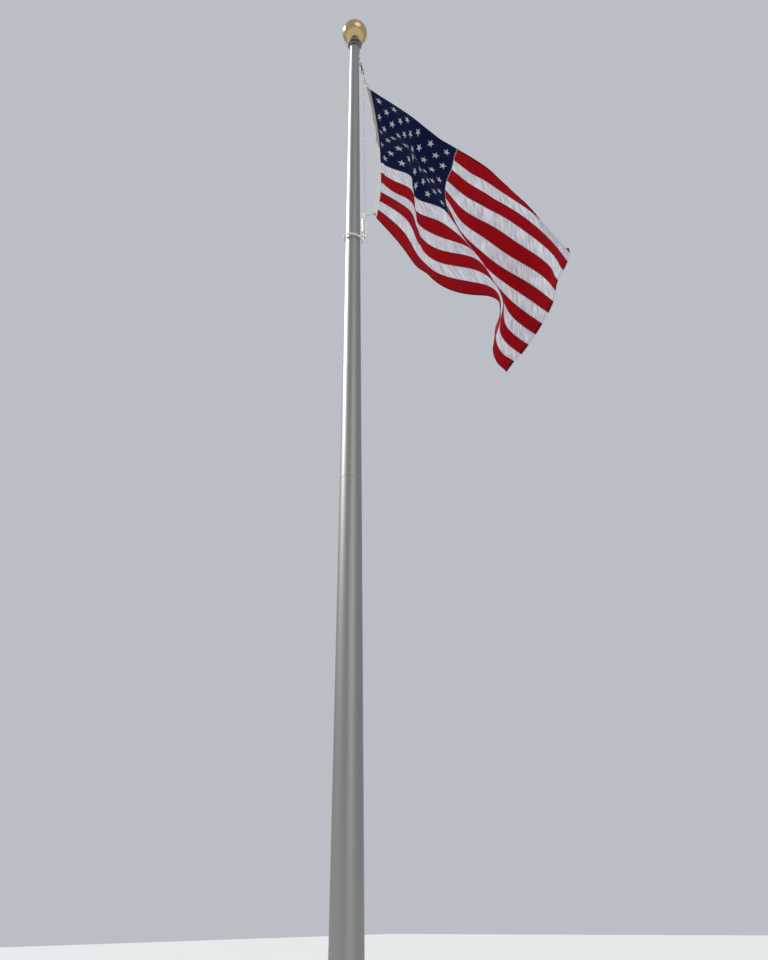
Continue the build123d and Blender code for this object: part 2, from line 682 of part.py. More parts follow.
# Down line: an eye in the bright link, a straight fall, an eye in the weight's upper eye
eye_bore = WEIGHT_EYE / 2 - EYE_ROD
upper_eye_mid = upper_eye_z + 2 + WEIGHT_EYE / 2
link_end_z = link_top - LINK_LENGTH + LINK_ROD + LINK_PLAY
line_from = Vector(bow_x, link_y, link_end_z + LINE_EYE_ROD)
line_to = Vector(WEIGHT_X, 0, upper_eye_mid + eye_bore - LINK_PLAY - LINE_EYE_ROD)
fall = (line_to - line_from).normalized()
line_plane = Plane(origin=line_from, x_dir=fall, z_dir=Vector(0, 1, 0).cross(fall))
line_length = (line_to - line_from).length
line_top_eye = oval_link(line_plane, 0, LINE_EYE_LENGTH, LINE_EYE_WIDTH, LINE_EYE_ROD)
line_low_eye = oval_link(
    line_plane, line_length - LINE_EYE_LENGTH, LINE_EYE_LENGTH, LINE_EYE_WIDTH, LINE_EYE_ROD
)
with BuildPart() as down_line:
    with BuildSketch(Plane(origin=line_from + fall * (LINE_EYE_LENGTH + LINK_PLAY), z_dir=fall)):
        Circle(LINE_DIA / 2)
    extrude(amount=line_length - 2 * (LINE_EYE_LENGTH + LINK_PLAY))

# Tie from the weight's upper eye to the flag's lower grommet: webbing with a clip at each end
tie_mid = (WEIGHT_X, upper_eye_mid)
tie_plane = aim(tie_mid, (bottom_hole.X, bottom_hole.Z), True)
tie_reach = sqrt((bottom_hole.X - tie_mid[0]) ** 2 + (bottom_hole.Z - tie_mid[1]) ** 2)
near_start = eye_bore - LINK_PLAY - CLIP_ROD
clip_sag = seat_rise(CLIP_WIDTH / 2 - CLIP_ROD, 0, grommet_face)
far_start = tie_reach - GROMMET_BORE / 2 + LINK_PLAY + CLIP_ROD + clip_sag - CLIP_LENGTH
near_clip = oval_link(tie_plane, near_start, CLIP_LENGTH, CLIP_WIDTH, CLIP_ROD)
far_clip = oval_link(tie_plane, far_start, CLIP_LENGTH, CLIP_WIDTH, CLIP_ROD)
web_start = near_start + CLIP_LENGTH + LINK_PLAY
web_origin = tie_plane.from_local_coords(Vector(web_start, 0, 0))
with BuildPart() as weight_tie:
    with BuildSketch(Plane(origin=web_origin, x_dir=(0, 1, 0), z_dir=tie_plane.x_dir)):
        RectangleRounded(WEB_WIDTH, WEB_THICK, WEB_THICK / 3)
    extrude(amount=far_start - LINK_PLAY - web_start)

# Snap under the weight and the long link that holds the ring
ring_radius = (pole_radius(ring_z) + RING_CLEARANCE + BEAD_DIA / 2) / cos(radians(RING_TILT))
ring_apex = ring_radius + RING_POINT
low_from = (WEIGHT_X, lower_eye_z - 2 - WEIGHT_EYE + EYE_ROD + LINK_PLAY)
low_to = (ring_apex, ring_z)
low_reach = sqrt((low_to[0] - low_from[0]) ** 2 + (low_to[1] - low_from[1]) ** 2)
tilt_drop = RING_ROD / 2 * tan(radians(RING_TILT))
ring_link_start = low_reach + RING_CABLE / 2 + 2 * LINK_PLAY + tilt_drop + RING_ROD - RING_LINK_LENGTH
ring_snap = swivel_snap(
    aim(low_from, low_to, True),
    -RING_SNAP_ROD,
    RING_SNAP_ROD + ring_link_start + RING_ROD + LINK_PLAY + RING_SNAP_ROD,
    RING_SNAP_WIDTH,
    RING_SNAP_ROD,
    RING_SNAP_BODY,
)
ring_link = oval_link(aim(low_from, low_to, False), ring_link_start, RING_LINK_LENGTH, RING_LINK_WIDTH, RING_ROD)

# Retainer ring: beaded cable round the shaft, drawn to a point at the long link
tilted = Plane(origin=(0, 0, ring_z), x_dir=(1, 0, 0), z_dir=(0, -sin(radians(RING_TILT)), cos(radians(RING_TILT))))
touch = degrees(atan2(sqrt(ring_apex**2 - ring_radius**2), ring_radius)) * 0.94
touch_x = ring_radius * cos(radians(touch))
touch_y = ring_radius * sin(radians(touch))
arc_beads = int((360 - 2 * touch) * radians(1) * ring_radius / BEAD_STEP)
bead_spots = []
for i in range(arc_beads + 1):
    angle = radians(touch + (360 - 2 * touch) * i / arc_beads)
    bead_spots.append((ring_radius * cos(angle), ring_radius * sin(angle), (-sin(angle), cos(angle))))
run_share = BEAD_STEP / sqrt((ring_apex - touch_x) ** 2 + touch_y**2)
for side in (1, -1):
    run_x = touch_x + run_share * (ring_apex - touch_x)
    bead_spots.append((run_x, side * touch_y * (1 - run_share), (ring_apex - touch_x, -side * touch_y)))
open_x = ring_radius * cos(radians(touch + RING_JOIN))
open_y = ring_radius * sin(radians(touch + RING_JOIN))
half_point = atan2(touch_y, ring_apex - touch_x)
bend_x = ring_apex - RING_BEND / sin(half_point)
bend_touch_x = bend_x + RING_BEND * sin(half_point)
bend_touch_y = RING_BEND * cos(half_point)
with BuildPart() as retainer_ring:
    with BuildLine(tilted) as ring_path:
        ThreePointArc((open_x, open_y), (-ring_radius, 0), (touch_x, -touch_y))
        Line((touch_x, -touch_y), (bend_touch_x, -bend_touch_y))
        ThreePointArc((bend_touch_x, -bend_touch_y), (bend_x + RING_BEND, 0), (bend_touch_x, bend_touch_y))
        Line((bend_touch_x, bend_touch_y), (touch_x, touch_y))
    ring_start = tilted.from_local_coords(Vector(open_x, open_y, 0))
    first_way = tilted.x_dir * -sin(radians(touch + RING_JOIN)) + tilted.y_dir * cos(radians(touch + RING_JOIN))
    with BuildSketch(Plane(origin=ring_start, z_dir=first_way)):
        Circle(RING_CABLE / 2)
    sweep(path=ring_path.wires()[0])
    for x, y, way in bead_spots:
        along = tilted.x_dir * way[0] + tilted.y_dir * way[1]
        with Locations(Plane(origin=tilted.from_local_coords(Vector(x, y, 0)), z_dir=along)):
            Sphere(BEAD_DIA / 2)

save(lower_shaft.part, "lower_shaft")
save(upper_shaft.part, "upper_shaft")
save(joint_sleeve.part, "joint_sleeve")
save(ground_cover.part, "ground_cover")
save(door_frame.part, "door_frame")
save(access_door.part, "access_door")
save(door_lock.part, "door_lock")
save(pole_cap.part, "pole_cap")
save(thrust_bearing.part, "thrust_bearing")
save(truck_housing.part, "truck_housing")
save(sheave.part, "sheave")
save(sheave_axle.part, "sheave_axle")
save(ball_stem.part, "ball_stem")
save(ball_lower.part, "ball_lower")
save(ball_upper.part, "ball_upper")
save(halyard_lead.part, "halyard_lead")
save(lead_ferrule.part, "lead_ferrule")
save(lead_eye, "lead_eye")
save(top_snap, "top_snap")
save(top_link, "top_link")
save(flag_snap, "flag_snap")
save(line_top_eye, "line_top_eye")
save(down_line.part, "down_line")
save(line_low_eye, "line_low_eye")
save(flag_cloth.part, "flag_cloth")
save(flag_heading.part, "flag_heading")
save(top_grommet, "top_grommet")
save(bottom_grommet, "bottom_grommet")
save(counterweight, "counterweight")
save(weight_top_eye, "weight_top_eye")
save(weight_bottom_eye, "weight_bottom_eye")
save(near_clip, "near_clip")
save(weight_tie.part, "weight_tie")
save(far_clip, "far_clip")
save(ring_snap, "ring_snap")
save(ring_link, "ring_link")
save(retainer_ring.part, "retainer_ring")
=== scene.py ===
import json
from math import atan2, cos, hypot, pi, radians, sin, sqrt

import bpy
import numpy as np
from mathutils import Matrix, Vector


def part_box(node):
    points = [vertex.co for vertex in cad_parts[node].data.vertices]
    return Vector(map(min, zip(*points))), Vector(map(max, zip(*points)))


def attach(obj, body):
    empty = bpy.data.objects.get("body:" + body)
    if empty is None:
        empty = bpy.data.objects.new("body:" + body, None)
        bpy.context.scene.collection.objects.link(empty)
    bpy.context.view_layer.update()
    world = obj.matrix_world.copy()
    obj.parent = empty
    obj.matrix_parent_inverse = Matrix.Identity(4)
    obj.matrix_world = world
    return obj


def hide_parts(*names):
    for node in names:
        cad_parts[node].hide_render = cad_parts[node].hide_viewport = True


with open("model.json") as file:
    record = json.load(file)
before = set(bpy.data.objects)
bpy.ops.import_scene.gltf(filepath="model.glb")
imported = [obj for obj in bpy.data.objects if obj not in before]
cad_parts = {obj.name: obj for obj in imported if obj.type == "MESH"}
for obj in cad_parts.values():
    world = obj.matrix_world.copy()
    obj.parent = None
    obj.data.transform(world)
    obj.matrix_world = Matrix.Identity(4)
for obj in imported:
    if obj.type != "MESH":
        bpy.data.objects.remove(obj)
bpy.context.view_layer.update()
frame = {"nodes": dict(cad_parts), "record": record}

# A ground-set flagpole seen from below: satin shaft, revolving truck with a gold ball, and a streaming
# flag held by snaps, a weight and a beaded ring. Metres, in the frame of the solids.

nodes = frame["nodes"]

# Camera: the photograph's pixels, a sensor in millimetres, metres and degrees. The focal length is
# assumed. Reach, height, yaw, pitch and roll were solved for, with the heights of the pole and its
# joint given. The bearing is the turn of the frame that lays the flag along +X.
PHOTO_HEIGHT = 960
FOCAL_PIXELS = 769
SENSOR = 36.0
CAMERA_REACH = 4.62
CAMERA_HEIGHT = 1.4935
CAMERA_BEARING = 42.0
CAMERA_YAW = 2.85
CAMERA_PITCH = 29.6
CAMERA_ROLL = -0.887

# Flag as it was cut
FLY = 3.048
HOIST = 1.829
HEADING_WIDTH = 0.042
SEAM_GAP = 0.0019
CUT_FLY = FLY - HEADING_WIDTH - SEAM_GAP
STRIPES = 13
STRIPE = HOIST / STRIPES
FIELD_STRIPES = 7
FIELD_EDGE = 0.4 * FLY - HEADING_WIDTH - SEAM_GAP
STAR_SPAN = 0.0475 * HOIST
STAR_ROWS = 9
STAR_COLUMNS = 11
STAR_INNER = 0.382
STAR_RINGS = ((1.0, 0.0), (0.985, 0.0011), (0.93, 0.0014), (0.62, 0.0017), (0.3, 0.0017))
CLOTH_THICK = 0.0009
SEAM_WIDTH = 0.012
SEAM_LIFT = 0.0011
FIELD_SEAM_FULL = 1.25
SEAM_STOP = 0.002
BAND_STEP = 0.008
BAND_SECTION = (
    (-0.5, 0.6), (-0.38, 1), (0.38, 1), (0.5, 0.6),
    (0.5, -0.6), (0.38, -1), (-0.38, -1), (-0.5, -0.6),
)
HEM_WIDTH = 0.014
FLY_HEM_WIDTH = 0.034
SEAM_ROWS = (0.003, 0.006)
HEM_ROWS = (0.003, 0.0085)
CANVAS_ROWS = (0.005, 0.009)
STITCH_RAISE = 2.5
WEAVE_DEPTH = 0.00012
COLUMNS = 376
PER_STRIPE = 8

# How the flag hangs: one row for each quarter of the hoist, from the top edge down. hoist_x is the
# heading's outer edge, gather the share of the row's length that its fine folds take up. depth (along
# Y) and lift stand at nine stations from the heading to the fly end. Millimetres. All four tables repeat
# the solid's. Depth, lift and gather are the output of a scratch fit to points read off the photograph,
# with guessed depths, rounded to 5 mm and 0.005. hoist_x was given to that fit and lies near its edge.
FLAG_TOP = 8700
ROW_HOIST_X = (165, 258, 297, 292, 228)
ROW_GATHER = (0.01, 0.025, 0.035, 0.055, 0.0)
ROW_DEPTH = (
    (0, -75, -135, -170, -260, -310, -385, -380, -410),
    (0, -215, -75, 10, 5, -140, -245, -320, -280),
    (0, -150, 110, 40, 120, 175, 165, 35, -70),
    (0, -55, 135, 140, -20, 40, 170, 345, 245),
    (0, 65, 190, 275, 145, -70, 170, 470, 565),
)
ROW_LIFT = (
    (0, 5, 15, 15, -60, -175, -245, -295, -385),
    (-5, 15, 45, 60, 10, -90, -190, -295, -310),
    (0, 20, 80, 80, 70, 50, 15, -130, -270),
    (5, 30, 80, 105, 95, 75, 50, 25, -150),
    (45, 35, 85, 130, 125, 110, 90, 65, -35),
)

# Folds that fall between the stations: from and to on the cloth (metres along the fly and down from the
# top edge), half width, then how far the cloth moves along the fly, in depth and in height (mm). Picked
# by hand from a scratch program's printout of where the cloth stood off a fitted surface.
FOLDS = (
    (0.30, 0.42, 0.75, 0.30, 0.25, -10, 200, 20),  # the field blown back, so that its top faces down
    (0.20, 0.75, 0.25, 1.20, 0.19, -50, 100, 10),  # hollow beside the heading
    (0.50, 0.80, 0.55, 0.95, 0.12, -10, 50, 10),
    (0.80, 0.78, 1.00, 1.00, 0.18, 5, -75, -10),  # swell in the field's lower corner
    (1.15, 0.25, 1.60, 0.35, 0.13, -5, -35, -20),
    (1.00, 0.00, 1.40, 0.10, 0.16, 0, 20, -20),  # the top edge sags past the field
    (0.95, 1.83, 1.60, 1.83, 0.14, 10, -50, 0),  # the bottom edge kicks forward, then back
    (2.00, 1.83, 2.30, 1.70, 0.16, -20, 60, -10),
    (2.20, 1.50, 2.70, 1.20, 0.20, 25, -10, 5),
    (2.95, 0.55, 3.00, 0.60, 0.14, 5, 50, 30),  # the fly end's two corners
    (3.00, 1.70, 3.00, 1.83, 0.12, -55, -45, 0),
)
PIN_REACH = 0.05

# Creases: sharp ridges on the cloth, from, to, half width, and height towards the front face (mm). The
# first, third and fourth were placed with the help of a scratch program, for pixels picked by eye.
CREASES = (
    (0.43, 0.94, 0.80, 1.56, 0.05, 11),
    (0.52, 0.30, 0.74, 0.98, 0.06, 9),
    (1.24, 0.92, 1.66, 1.12, 0.05, 12),
    (1.66, 1.12, 2.34, 1.48, 0.06, 10),
    (0.16, 0.10, 1.20, 0.09, 0.035, -7),
    (0.10, 0.25, 1.15, 0.30, 0.045, 8),
    (0.08, 0.40, 1.05, 0.62, 0.045, -8),
    (0.06, 0.52, 0.62, 0.80, 0.04, 7),
)

# The top stripe rolls back behind the flag towards the fly end: places along the fly, how far down the
# cloth the roll reaches at each, how far it turns there in degrees, and its radius
ROLL_PLACES = (1.85, 2.15, 2.45, 2.82, 3.004)
ROLL_REACHES = (0.0, 0.070, 0.150, 0.150, 0.150)
ROLL_TURNS = (120, 150, 165, 165, 25)
ROLL_RADIUS = 0.022

# Heading and ties
HEADING_OVERLAP = 0.005
HEADING_FULL = 0.0021
HEADING_SECTION = (
    (0.0, 0.0), (0.05, 0.75), (0.2, 1.0), (0.5, 0.9), (0.8, 0.8), (1.0, 0.6),
    (1.0, -0.6), (0.8, -0.8), (0.5, -0.9), (0.2, -1.0), (0.05, -0.75),
)
HEADING_TWISTS = (
    (0.42, 34, 0.018), (0.50, -38, 0.016), (0.585, 36, 0.02), (0.30, 14, 0.04), (0.72, -12, 0.05),
)
HEADING_SQUEEZE = 0.16
HEADING_HELD = 0.06
HEADING_EASE = 0.08
HEADING_WAVES = ((0.0035, 31, 0), (0.0015, 83, 1))
HEADING_STEPS = 181
HEADING_SHADE = 0.43
GROMMET_BARREL = 0.020
HOLE_SIDES = 32
HOLE_DEPTH = 0.06
WEB_WIDTH = 0.015
WEB_SHEET = 0.0011
WEB_ROD = 0.0022
WEB_LOOP = 0.0042
WEB_GAP = 0.0008
WEB_FLAT = 0.6
WEB_INSET = 0.006
WEB_RUN_POINTS = 14
WEB_TURN_STEPS = 8
LINE_DIA = 0.0044
LINE_LAY = 0.032
LINE_STRANDS = 6
STRAND_SIDES = 6
POINTS_PER_LAY = 10
END_DEPTH = 0.0005

# Fine wrinkles that the sewing draws into the stripes, leaning back from the seams
WRINKLE_LENGTH = 0.037
WRINKLE_LEAN = 41
WRINKLE_HEIGHT = 0.0034
WRINKLE_SHARES = (0.30, 1.0, 0.30)
WRINKLE_SEED = 11
WRINKLE_PLACES = (0, 0.25, FIELD_EDGE, 1.6, 2.9, CUT_FLY)
WRINKLE_FADES = (0.1, 0.4, 0.55, 1, 1, 0.6)
# Painted shade of the fine wrinkles: darker streaks in the cloth's colour that lean with them
WRINKLE_SHADE_WIDTH = 0.021
WRINKLE_SHADE_LENGTH = 0.16

# Floor and light. Each lamp has a name, azimuth and height in degrees, energy, angle, share of gloss.
FLOOR_REACH = 60
SKY_COLOUR = (0.80, 0.84, 0.90, 1)
SKY_STRENGTH = 0.62
LAMPS = (("key", 127, 46, 3.0, 9, 0.7), ("fill", 250, 25, 0.4, 40, 0.0))


def make_camera():
    """Camera low beside the pole, looking up."""
    bearing = radians(CAMERA_BEARING)
    heading = radians(CAMERA_BEARING + CAMERA_YAW)
    pitch = radians(CAMERA_PITCH)
    roll = radians(CAMERA_ROLL)
    ahead = Vector((sin(heading) * cos(pitch), cos(heading) * cos(pitch), sin(pitch)))
    level = Vector((cos(heading), -sin(heading), 0))
    upright = level.cross(ahead)
    right = level * cos(roll) + upright * sin(roll)
    up = upright * cos(roll) - level * sin(roll)
    data = bpy.data.cameras.new("photo_camera")
    data.sensor_width = SENSOR
    data.lens = FOCAL_PIXELS * SENSOR / PHOTO_HEIGHT
    data.clip_end = 200
    camera = bpy.data.objects.new("photo_camera", data)
    place = Vector((-CAMERA_REACH * sin(bearing), -CAMERA_REACH * cos(bearing), CAMERA_HEIGHT))
    turn = Matrix((right, up, -ahead)).transposed().to_4x4()
    camera.matrix_world = Matrix.Translation(place) @ turn
    bpy.context.collection.objects.link(camera)
    bpy.context.scene.camera = camera


# Shader groups

def new_group(name, inputs, outputs):
    """Empty shader group with the named sockets, and its two end nodes."""
    group = bpy.data.node_groups.new(name, "ShaderNodeTree")
    for label, kind, value in inputs:
        socket = group.interface.new_socket(label, in_out="INPUT", socket_type=kind)
        if value is not None:
            socket.default_value = value
    for label, kind in outputs:
        group.interface.new_socket(label, in_out="OUTPUT", socket_type=kind)
    return group, group.nodes.new("NodeGroupInput"), group.nodes.new("NodeGroupOutput")


def math_node(tree, operation, first, second=None, third=None, clamp=False):
    """Math node whose inputs are sockets or numbers."""
    node = tree.nodes.new("ShaderNodeMath")
    node.operation = operation
    node.use_clamp = clamp
    for socket, value in zip(node.inputs, (first, second, third)):
        if value is None:
            continue
        if isinstance(value, (int, float)):
            socket.default_value = value
        else:
            tree.links.new(value, socket)
    return node.outputs[0]


def mix_colour(tree, share, first, second, blend="MIX"):
    """Colour mix whose inputs are sockets or colours."""
    node = tree.nodes.new("ShaderNodeMix")
    node.data_type = "RGBA"
    node.blend_type = blend
    for socket, value in ((node.inputs[0], share), (node.inputs[6], first), (node.inputs[7], second)):
        if isinstance(value, (int, float)):
            socket.default_value = value
        elif isinstance(value, tuple):
            socket.default_value = (*value, 1) if len(value) == 3 else value
        else:
            tree.links.new(value, socket)
    return node.outputs[2]


def make_grain_group():
    """Fine grain: a colour share and a height that vary over the surface, from two sizes of noise."""
    group, start, end = new_group(
        "surface_grain",
        [
            ("Size", "NodeSocketFloat", 400.0),
            ("Patch Size", "NodeSocketFloat", 6.0),
            ("Stretch", "NodeSocketFloat", 1.0),
        ],
        [("Fine", "NodeSocketFloat"), ("Patch", "NodeSocketFloat"), ("Height", "NodeSocketFloat")],
    )
    place = group.nodes.new("ShaderNodeTexCoord").outputs["Object"]
    squeeze = group.nodes.new("ShaderNodeCombineXYZ")
    squeeze.inputs[0].default_value = 1
    squeeze.inputs[1].default_value = 1
    group.links.new(start.outputs["Stretch"], squeeze.inputs[2])
    scaled = group.nodes.new("ShaderNodeVectorMath")
    scaled.operation = "MULTIPLY"
    group.links.new(place, scaled.inputs[0])
    group.links.new(squeeze.outputs[0], scaled.inputs[1])
    fine = group.nodes.new("ShaderNodeTexNoise")
    fine.inputs["Detail"].default_value = 4
    group.links.new(scaled.outputs[0], fine.inputs["Vector"])
    group.links.new(start.outputs["Size"], fine.inputs["Scale"])
    patch = group.nodes.new("ShaderNodeTexNoise")
    patch.inputs["Detail"].default_value = 3
    group.links.new(scaled.outputs[0], patch.inputs["Vector"])
    group.links.new(start.outputs["Patch Size"], patch.inputs["Scale"])
    group.links.new(fine.outputs["Fac"], end.inputs["Fine"])
    group.links.new(patch.outputs["Fac"], end.inputs["Patch"])
    group.links.new(fine.outputs["Fac"], end.inputs["Height"])
    return group


def make_weave_group():
    """Plain weave from the cloth's own coordinates, in metres: height, a thread shade and painted shade of
    the wrinkles, as streaks that lean with them."""
    group, start, end = new_group(
        "plain_weave",
        [("Thread", "NodeSocketFloat", 0.0006)],
        [("Height", "NodeSocketFloat"), ("Shade", "NodeSocketFloat"), ("Wrinkle Shade", "NodeSocketFloat")],
    )
    place = group.nodes.new("ShaderNodeUVMap").outputs[0]
    split = group.nodes.new("ShaderNodeSeparateXYZ")
    group.links.new(place, split.inputs[0])
    per_thread = math_node(group, "DIVIDE", pi, start.outputs["Thread"])
    warp = math_node(group, "SINE", math_node(group, "MULTIPLY", split.outputs[0], per_thread))
    weft = math_node(group, "SINE", math_node(group, "MULTIPLY", split.outputs[1], per_thread))
    crossing = math_node(group, "MULTIPLY", warp, weft)
    height = math_node(group, "MULTIPLY_ADD", crossing, 0.5, 0.5)
    slub = group.nodes.new("ShaderNodeTexNoise")
    slub.inputs["Scale"].default_value = 60
    slub.inputs["Detail"].default_value = 3
    group.links.new(place, slub.inputs["Vector"])
    # Painted shade of the wrinkles: noise stretched along their lean, sharpened into dark streaks
    lean_cos, lean_sin = cos(radians(WRINKLE_LEAN)), sin(radians(WRINKLE_LEAN))
    across = math_node(
        group, "SUBTRACT",
        math_node(group, "MULTIPLY", split.outputs[0], lean_cos / WRINKLE_SHADE_WIDTH),
        math_node(group, "MULTIPLY", split.outputs[1], lean_sin / WRINKLE_SHADE_WIDTH),
    )
    run = math_node(
        group, "ADD",
        math_node(group, "MULTIPLY", split.outputs[0], lean_sin / WRINKLE_SHADE_LENGTH),
        math_node(group, "MULTIPLY", split.outputs[1], lean_cos / WRINKLE_SHADE_LENGTH),
    )
    turned = group.nodes.new("ShaderNodeCombineXYZ")
    group.links.new(across, turned.inputs[0])
    group.links.new(run, turned.inputs[1])
    wrinkle_shade = group.nodes.new("ShaderNodeTexNoise")
    wrinkle_shade.inputs["Scale"].default_value = 1.0
    wrinkle_shade.inputs["Detail"].default_value = 2
    wrinkle_shade.inputs["Distortion"].default_value = 0.4
    group.links.new(turned.outputs[0], wrinkle_shade.inputs["Vector"])
    sharper = math_node(group, "MULTIPLY_ADD", wrinkle_shade.outputs["Fac"], 3.0, -1.0, clamp=True)
    group.links.new(height, end.inputs["Height"])
    group.links.new(slub.outputs["Fac"], end.inputs["Shade"])
    group.links.new(sharper, end.inputs["Wrinkle Shade"])
    return group


def make_stitch_group():
    """Rows of machine stitches from the cut's coordinates, in metres: 1 on the thread, 0 beside it."""
    group, start, end = new_group(
        "stitch_rows",
        [
            ("First Row", "NodeSocketFloat", 0.003),
            ("Row Spacing", "NodeSocketFloat", 0.006),
            ("Stitch", "NodeSocketFloat", 0.0034),
            ("Thread", "NodeSocketFloat", 0.0009),
        ],
        [("Mask", "NodeSocketFloat")],
    )
    split = group.nodes.new("ShaderNodeSeparateXYZ")
    group.links.new(group.nodes.new("ShaderNodeUVMap").outputs[0], split.inputs[0])
    spot = math_node(group, "SUBTRACT", split.outputs[1], start.outputs["First Row"])
    half_row = math_node(group, "MULTIPLY", start.outputs["Row Spacing"], 0.5)
    off_row = math_node(group, "PINGPONG", spot, half_row)
    threads_off = math_node(group, "DIVIDE", off_row, start.outputs["Thread"])
    on_row = math_node(group, "SUBTRACT", 1.0, threads_off, clamp=True)
    turns = math_node(group, "DIVIDE", split.outputs[0], start.outputs["Stitch"])
    dash = math_node(group, "SINE", math_node(group, "MULTIPLY", turns, 2 * pi))
    dash = math_node(group, "MULTIPLY_ADD", dash, 1.2, 0.9, clamp=True)
    group.links.new(math_node(group, "MULTIPLY", on_row, dash), end.inputs["Mask"])
    return group


def make_side_group():
    """Share from 0 at one edge of a sewn band to 1 at the other, with a soft middle."""
    group, start, end = new_group(
        "band_side",
        [("Width", "NodeSocketFloat", 0.012), ("Middle", "NodeSocketFloat", 0.4)],
        [("Side", "NodeSocketFloat")],
    )
    split = group.nodes.new("ShaderNodeSeparateXYZ")
    group.links.new(group.nodes.new("ShaderNodeUVMap").outputs[0], split.inputs[0])
    share = math_node(group, "DIVIDE", split.outputs[1], start.outputs["Width"])
    past = math_node(group, "SUBTRACT", share, start.outputs["Middle"])
    group.links.new(math_node(group, "MULTIPLY_ADD", past, 12.0, 0.5, clamp=True), end.inputs["Side"])
    return group


GRAIN = make_grain_group()
WEAVE = make_weave_group()
STITCH = make_stitch_group()
SIDE = make_side_group()


def place_group(tree, group, **values):
    """Instance of a group with its inputs set."""
    node = tree.nodes.new("ShaderNodeGroup")
    node.node_tree = group
    for label, value in values.items():
        node.inputs[label.replace("_", " ")].default_value = value
    return node


def start_material(name):
    """New node material: the tree, its Principled shader and its output."""
    material = bpy.data.materials.new(name)
    material.use_nodes = True
    tree = material.node_tree
    return material, tree, tree.nodes["Principled BSDF"], tree.nodes["Material Output"]


def ramp(tree, value, low, high):
    """Value moved from 0..1 noise to low..high."""
    return math_node(tree, "MULTIPLY_ADD", value, high - low, low)


def add_bump(tree, shader, height, distance):
    """Relief of the given depth on the shader's normal."""
    bump = tree.nodes.new("ShaderNodeBump")
    bump.inputs["Strength"].default_value = 1.0
    bump.inputs["Distance"].default_value = distance
    tree.links.new(height, bump.inputs["Height"])
    tree.links.new(bump.outputs[0], shader.inputs["Normal"])


def metal(name, dark, light, rough, size=400.0, patch=5.0, stretch=1.0, depth=0.00004):
    """Metal whose tone and roughness drift over the surface, with fine tool marks."""
    material, tree, shader, _ = start_material(name)
    grain = place_group(tree, GRAIN, Size=size, Patch_Size=patch, Stretch=stretch)
    colour = mix_colour(tree, grain.outputs["Patch"], dark, light)
    speck = ramp(tree, grain.outputs["Fine"], 0.9, 1.06)
    colour = mix_colour(tree, 1.0, colour, mix_colour(tree, speck, (0, 0, 0), (1, 1, 1)), "MULTIPLY")
    tree.links.new(colour, shader.inputs["Base Color"])
    tree.links.new(ramp(tree, grain.outputs["Patch"], rough - 0.06, rough + 0.08), shader.inputs["Roughness"])
    shader.inputs["Metallic"].default_value = 1.0
    add_bump(tree, shader, grain.outputs["Height"], depth)
    return material


def plastic(name, dark, light, rough, coat=0.0, size=300.0, depth=0.00006):
    """Moulded or braided plastic with a faint drift of tone and, where given, a clear coat."""
    material, tree, shader, _ = start_material(name)
    grain = place_group(tree, GRAIN, Size=size, Patch_Size=14.0)
    colour = mix_colour(tree, grain.outputs["Patch"], dark, light)
    tree.links.new(colour, shader.inputs["Base Color"])
    tree.links.new(ramp(tree, grain.outputs["Fine"], rough - 0.05, rough + 0.08), shader.inputs["Roughness"])
    shader.inputs["Coat Weight"].default_value = coat
    add_bump(tree, shader, grain.outputs["Height"], depth)
    return material


def cloth(name, dark, light, glow, share, rough=0.75, thread=0.0006, rows=None, second=None, wrinkle_shade=1.0):
    """Woven nylon: thread shade, weave relief, rows of stitches, painted shade in streaks along the wrinkles,
    and the light that comes through from behind. second gives the shades on the far side of a sewn band."""
    material, tree, shader, output = start_material(name)
    weave = place_group(tree, WEAVE, Thread=thread)
    colour = mix_colour(tree, weave.outputs["Shade"], dark, light)
    through_colour = mix_colour(tree, weave.outputs["Shade"], glow, tuple(min(1, c * 1.1) for c in glow))
    height = weave.outputs["Height"]
    # Painted shade: the wrinkle streaks darken both colours, down to the given share
    if wrinkle_shade < 1:
        wrinkle_shade_colour = mix_colour(tree, weave.outputs["Wrinkle Shade"], (wrinkle_shade, wrinkle_shade, wrinkle_shade), (1.0, 1.0, 1.0))
        colour = mix_colour(tree, 1.0, colour, wrinkle_shade_colour, "MULTIPLY")
        through_colour = mix_colour(tree, 1.0, through_colour, wrinkle_shade_colour, "MULTIPLY")
    if second:
        side = place_group(tree, SIDE, Width=SEAM_WIDTH)
        colour = mix_colour(tree, side.outputs["Side"], colour, second[0])
        through_colour = mix_colour(tree, side.outputs["Side"], through_colour, second[1])
    if rows:
        first_row, spacing, thread_colour = rows
        stitches = place_group(tree, STITCH, First_Row=first_row, Row_Spacing=spacing)
        colour = mix_colour(tree, stitches.outputs["Mask"], colour, thread_colour)
        height = math_node(tree, "MULTIPLY_ADD", stitches.outputs["Mask"], STITCH_RAISE, height)
    tree.links.new(colour, shader.inputs["Base Color"])
    tree.links.new(ramp(tree, weave.outputs["Shade"], rough - 0.08, rough + 0.08), shader.inputs["Roughness"])
    shader.inputs["Sheen Weight"].default_value = 0.02
    shader.inputs["Sheen Roughness"].default_value = 0.4
    shader.inputs["Specular IOR Level"].default_value = 0.12
    add_bump(tree, shader, height, WEAVE_DEPTH)
    through = tree.nodes.new("ShaderNodeBsdfTranslucent")
    tree.links.new(through_colour, through.inputs[0])
    blend = tree.nodes.new("ShaderNodeMixShader")
    blend.inputs[0].default_value = share
    tree.links.new(shader.outputs[0], blend.inputs[1])
    tree.links.new(through.outputs[0], blend.inputs[2])
    tree.links.new(blend.outputs[0], output.inputs["Surface"])
    return material


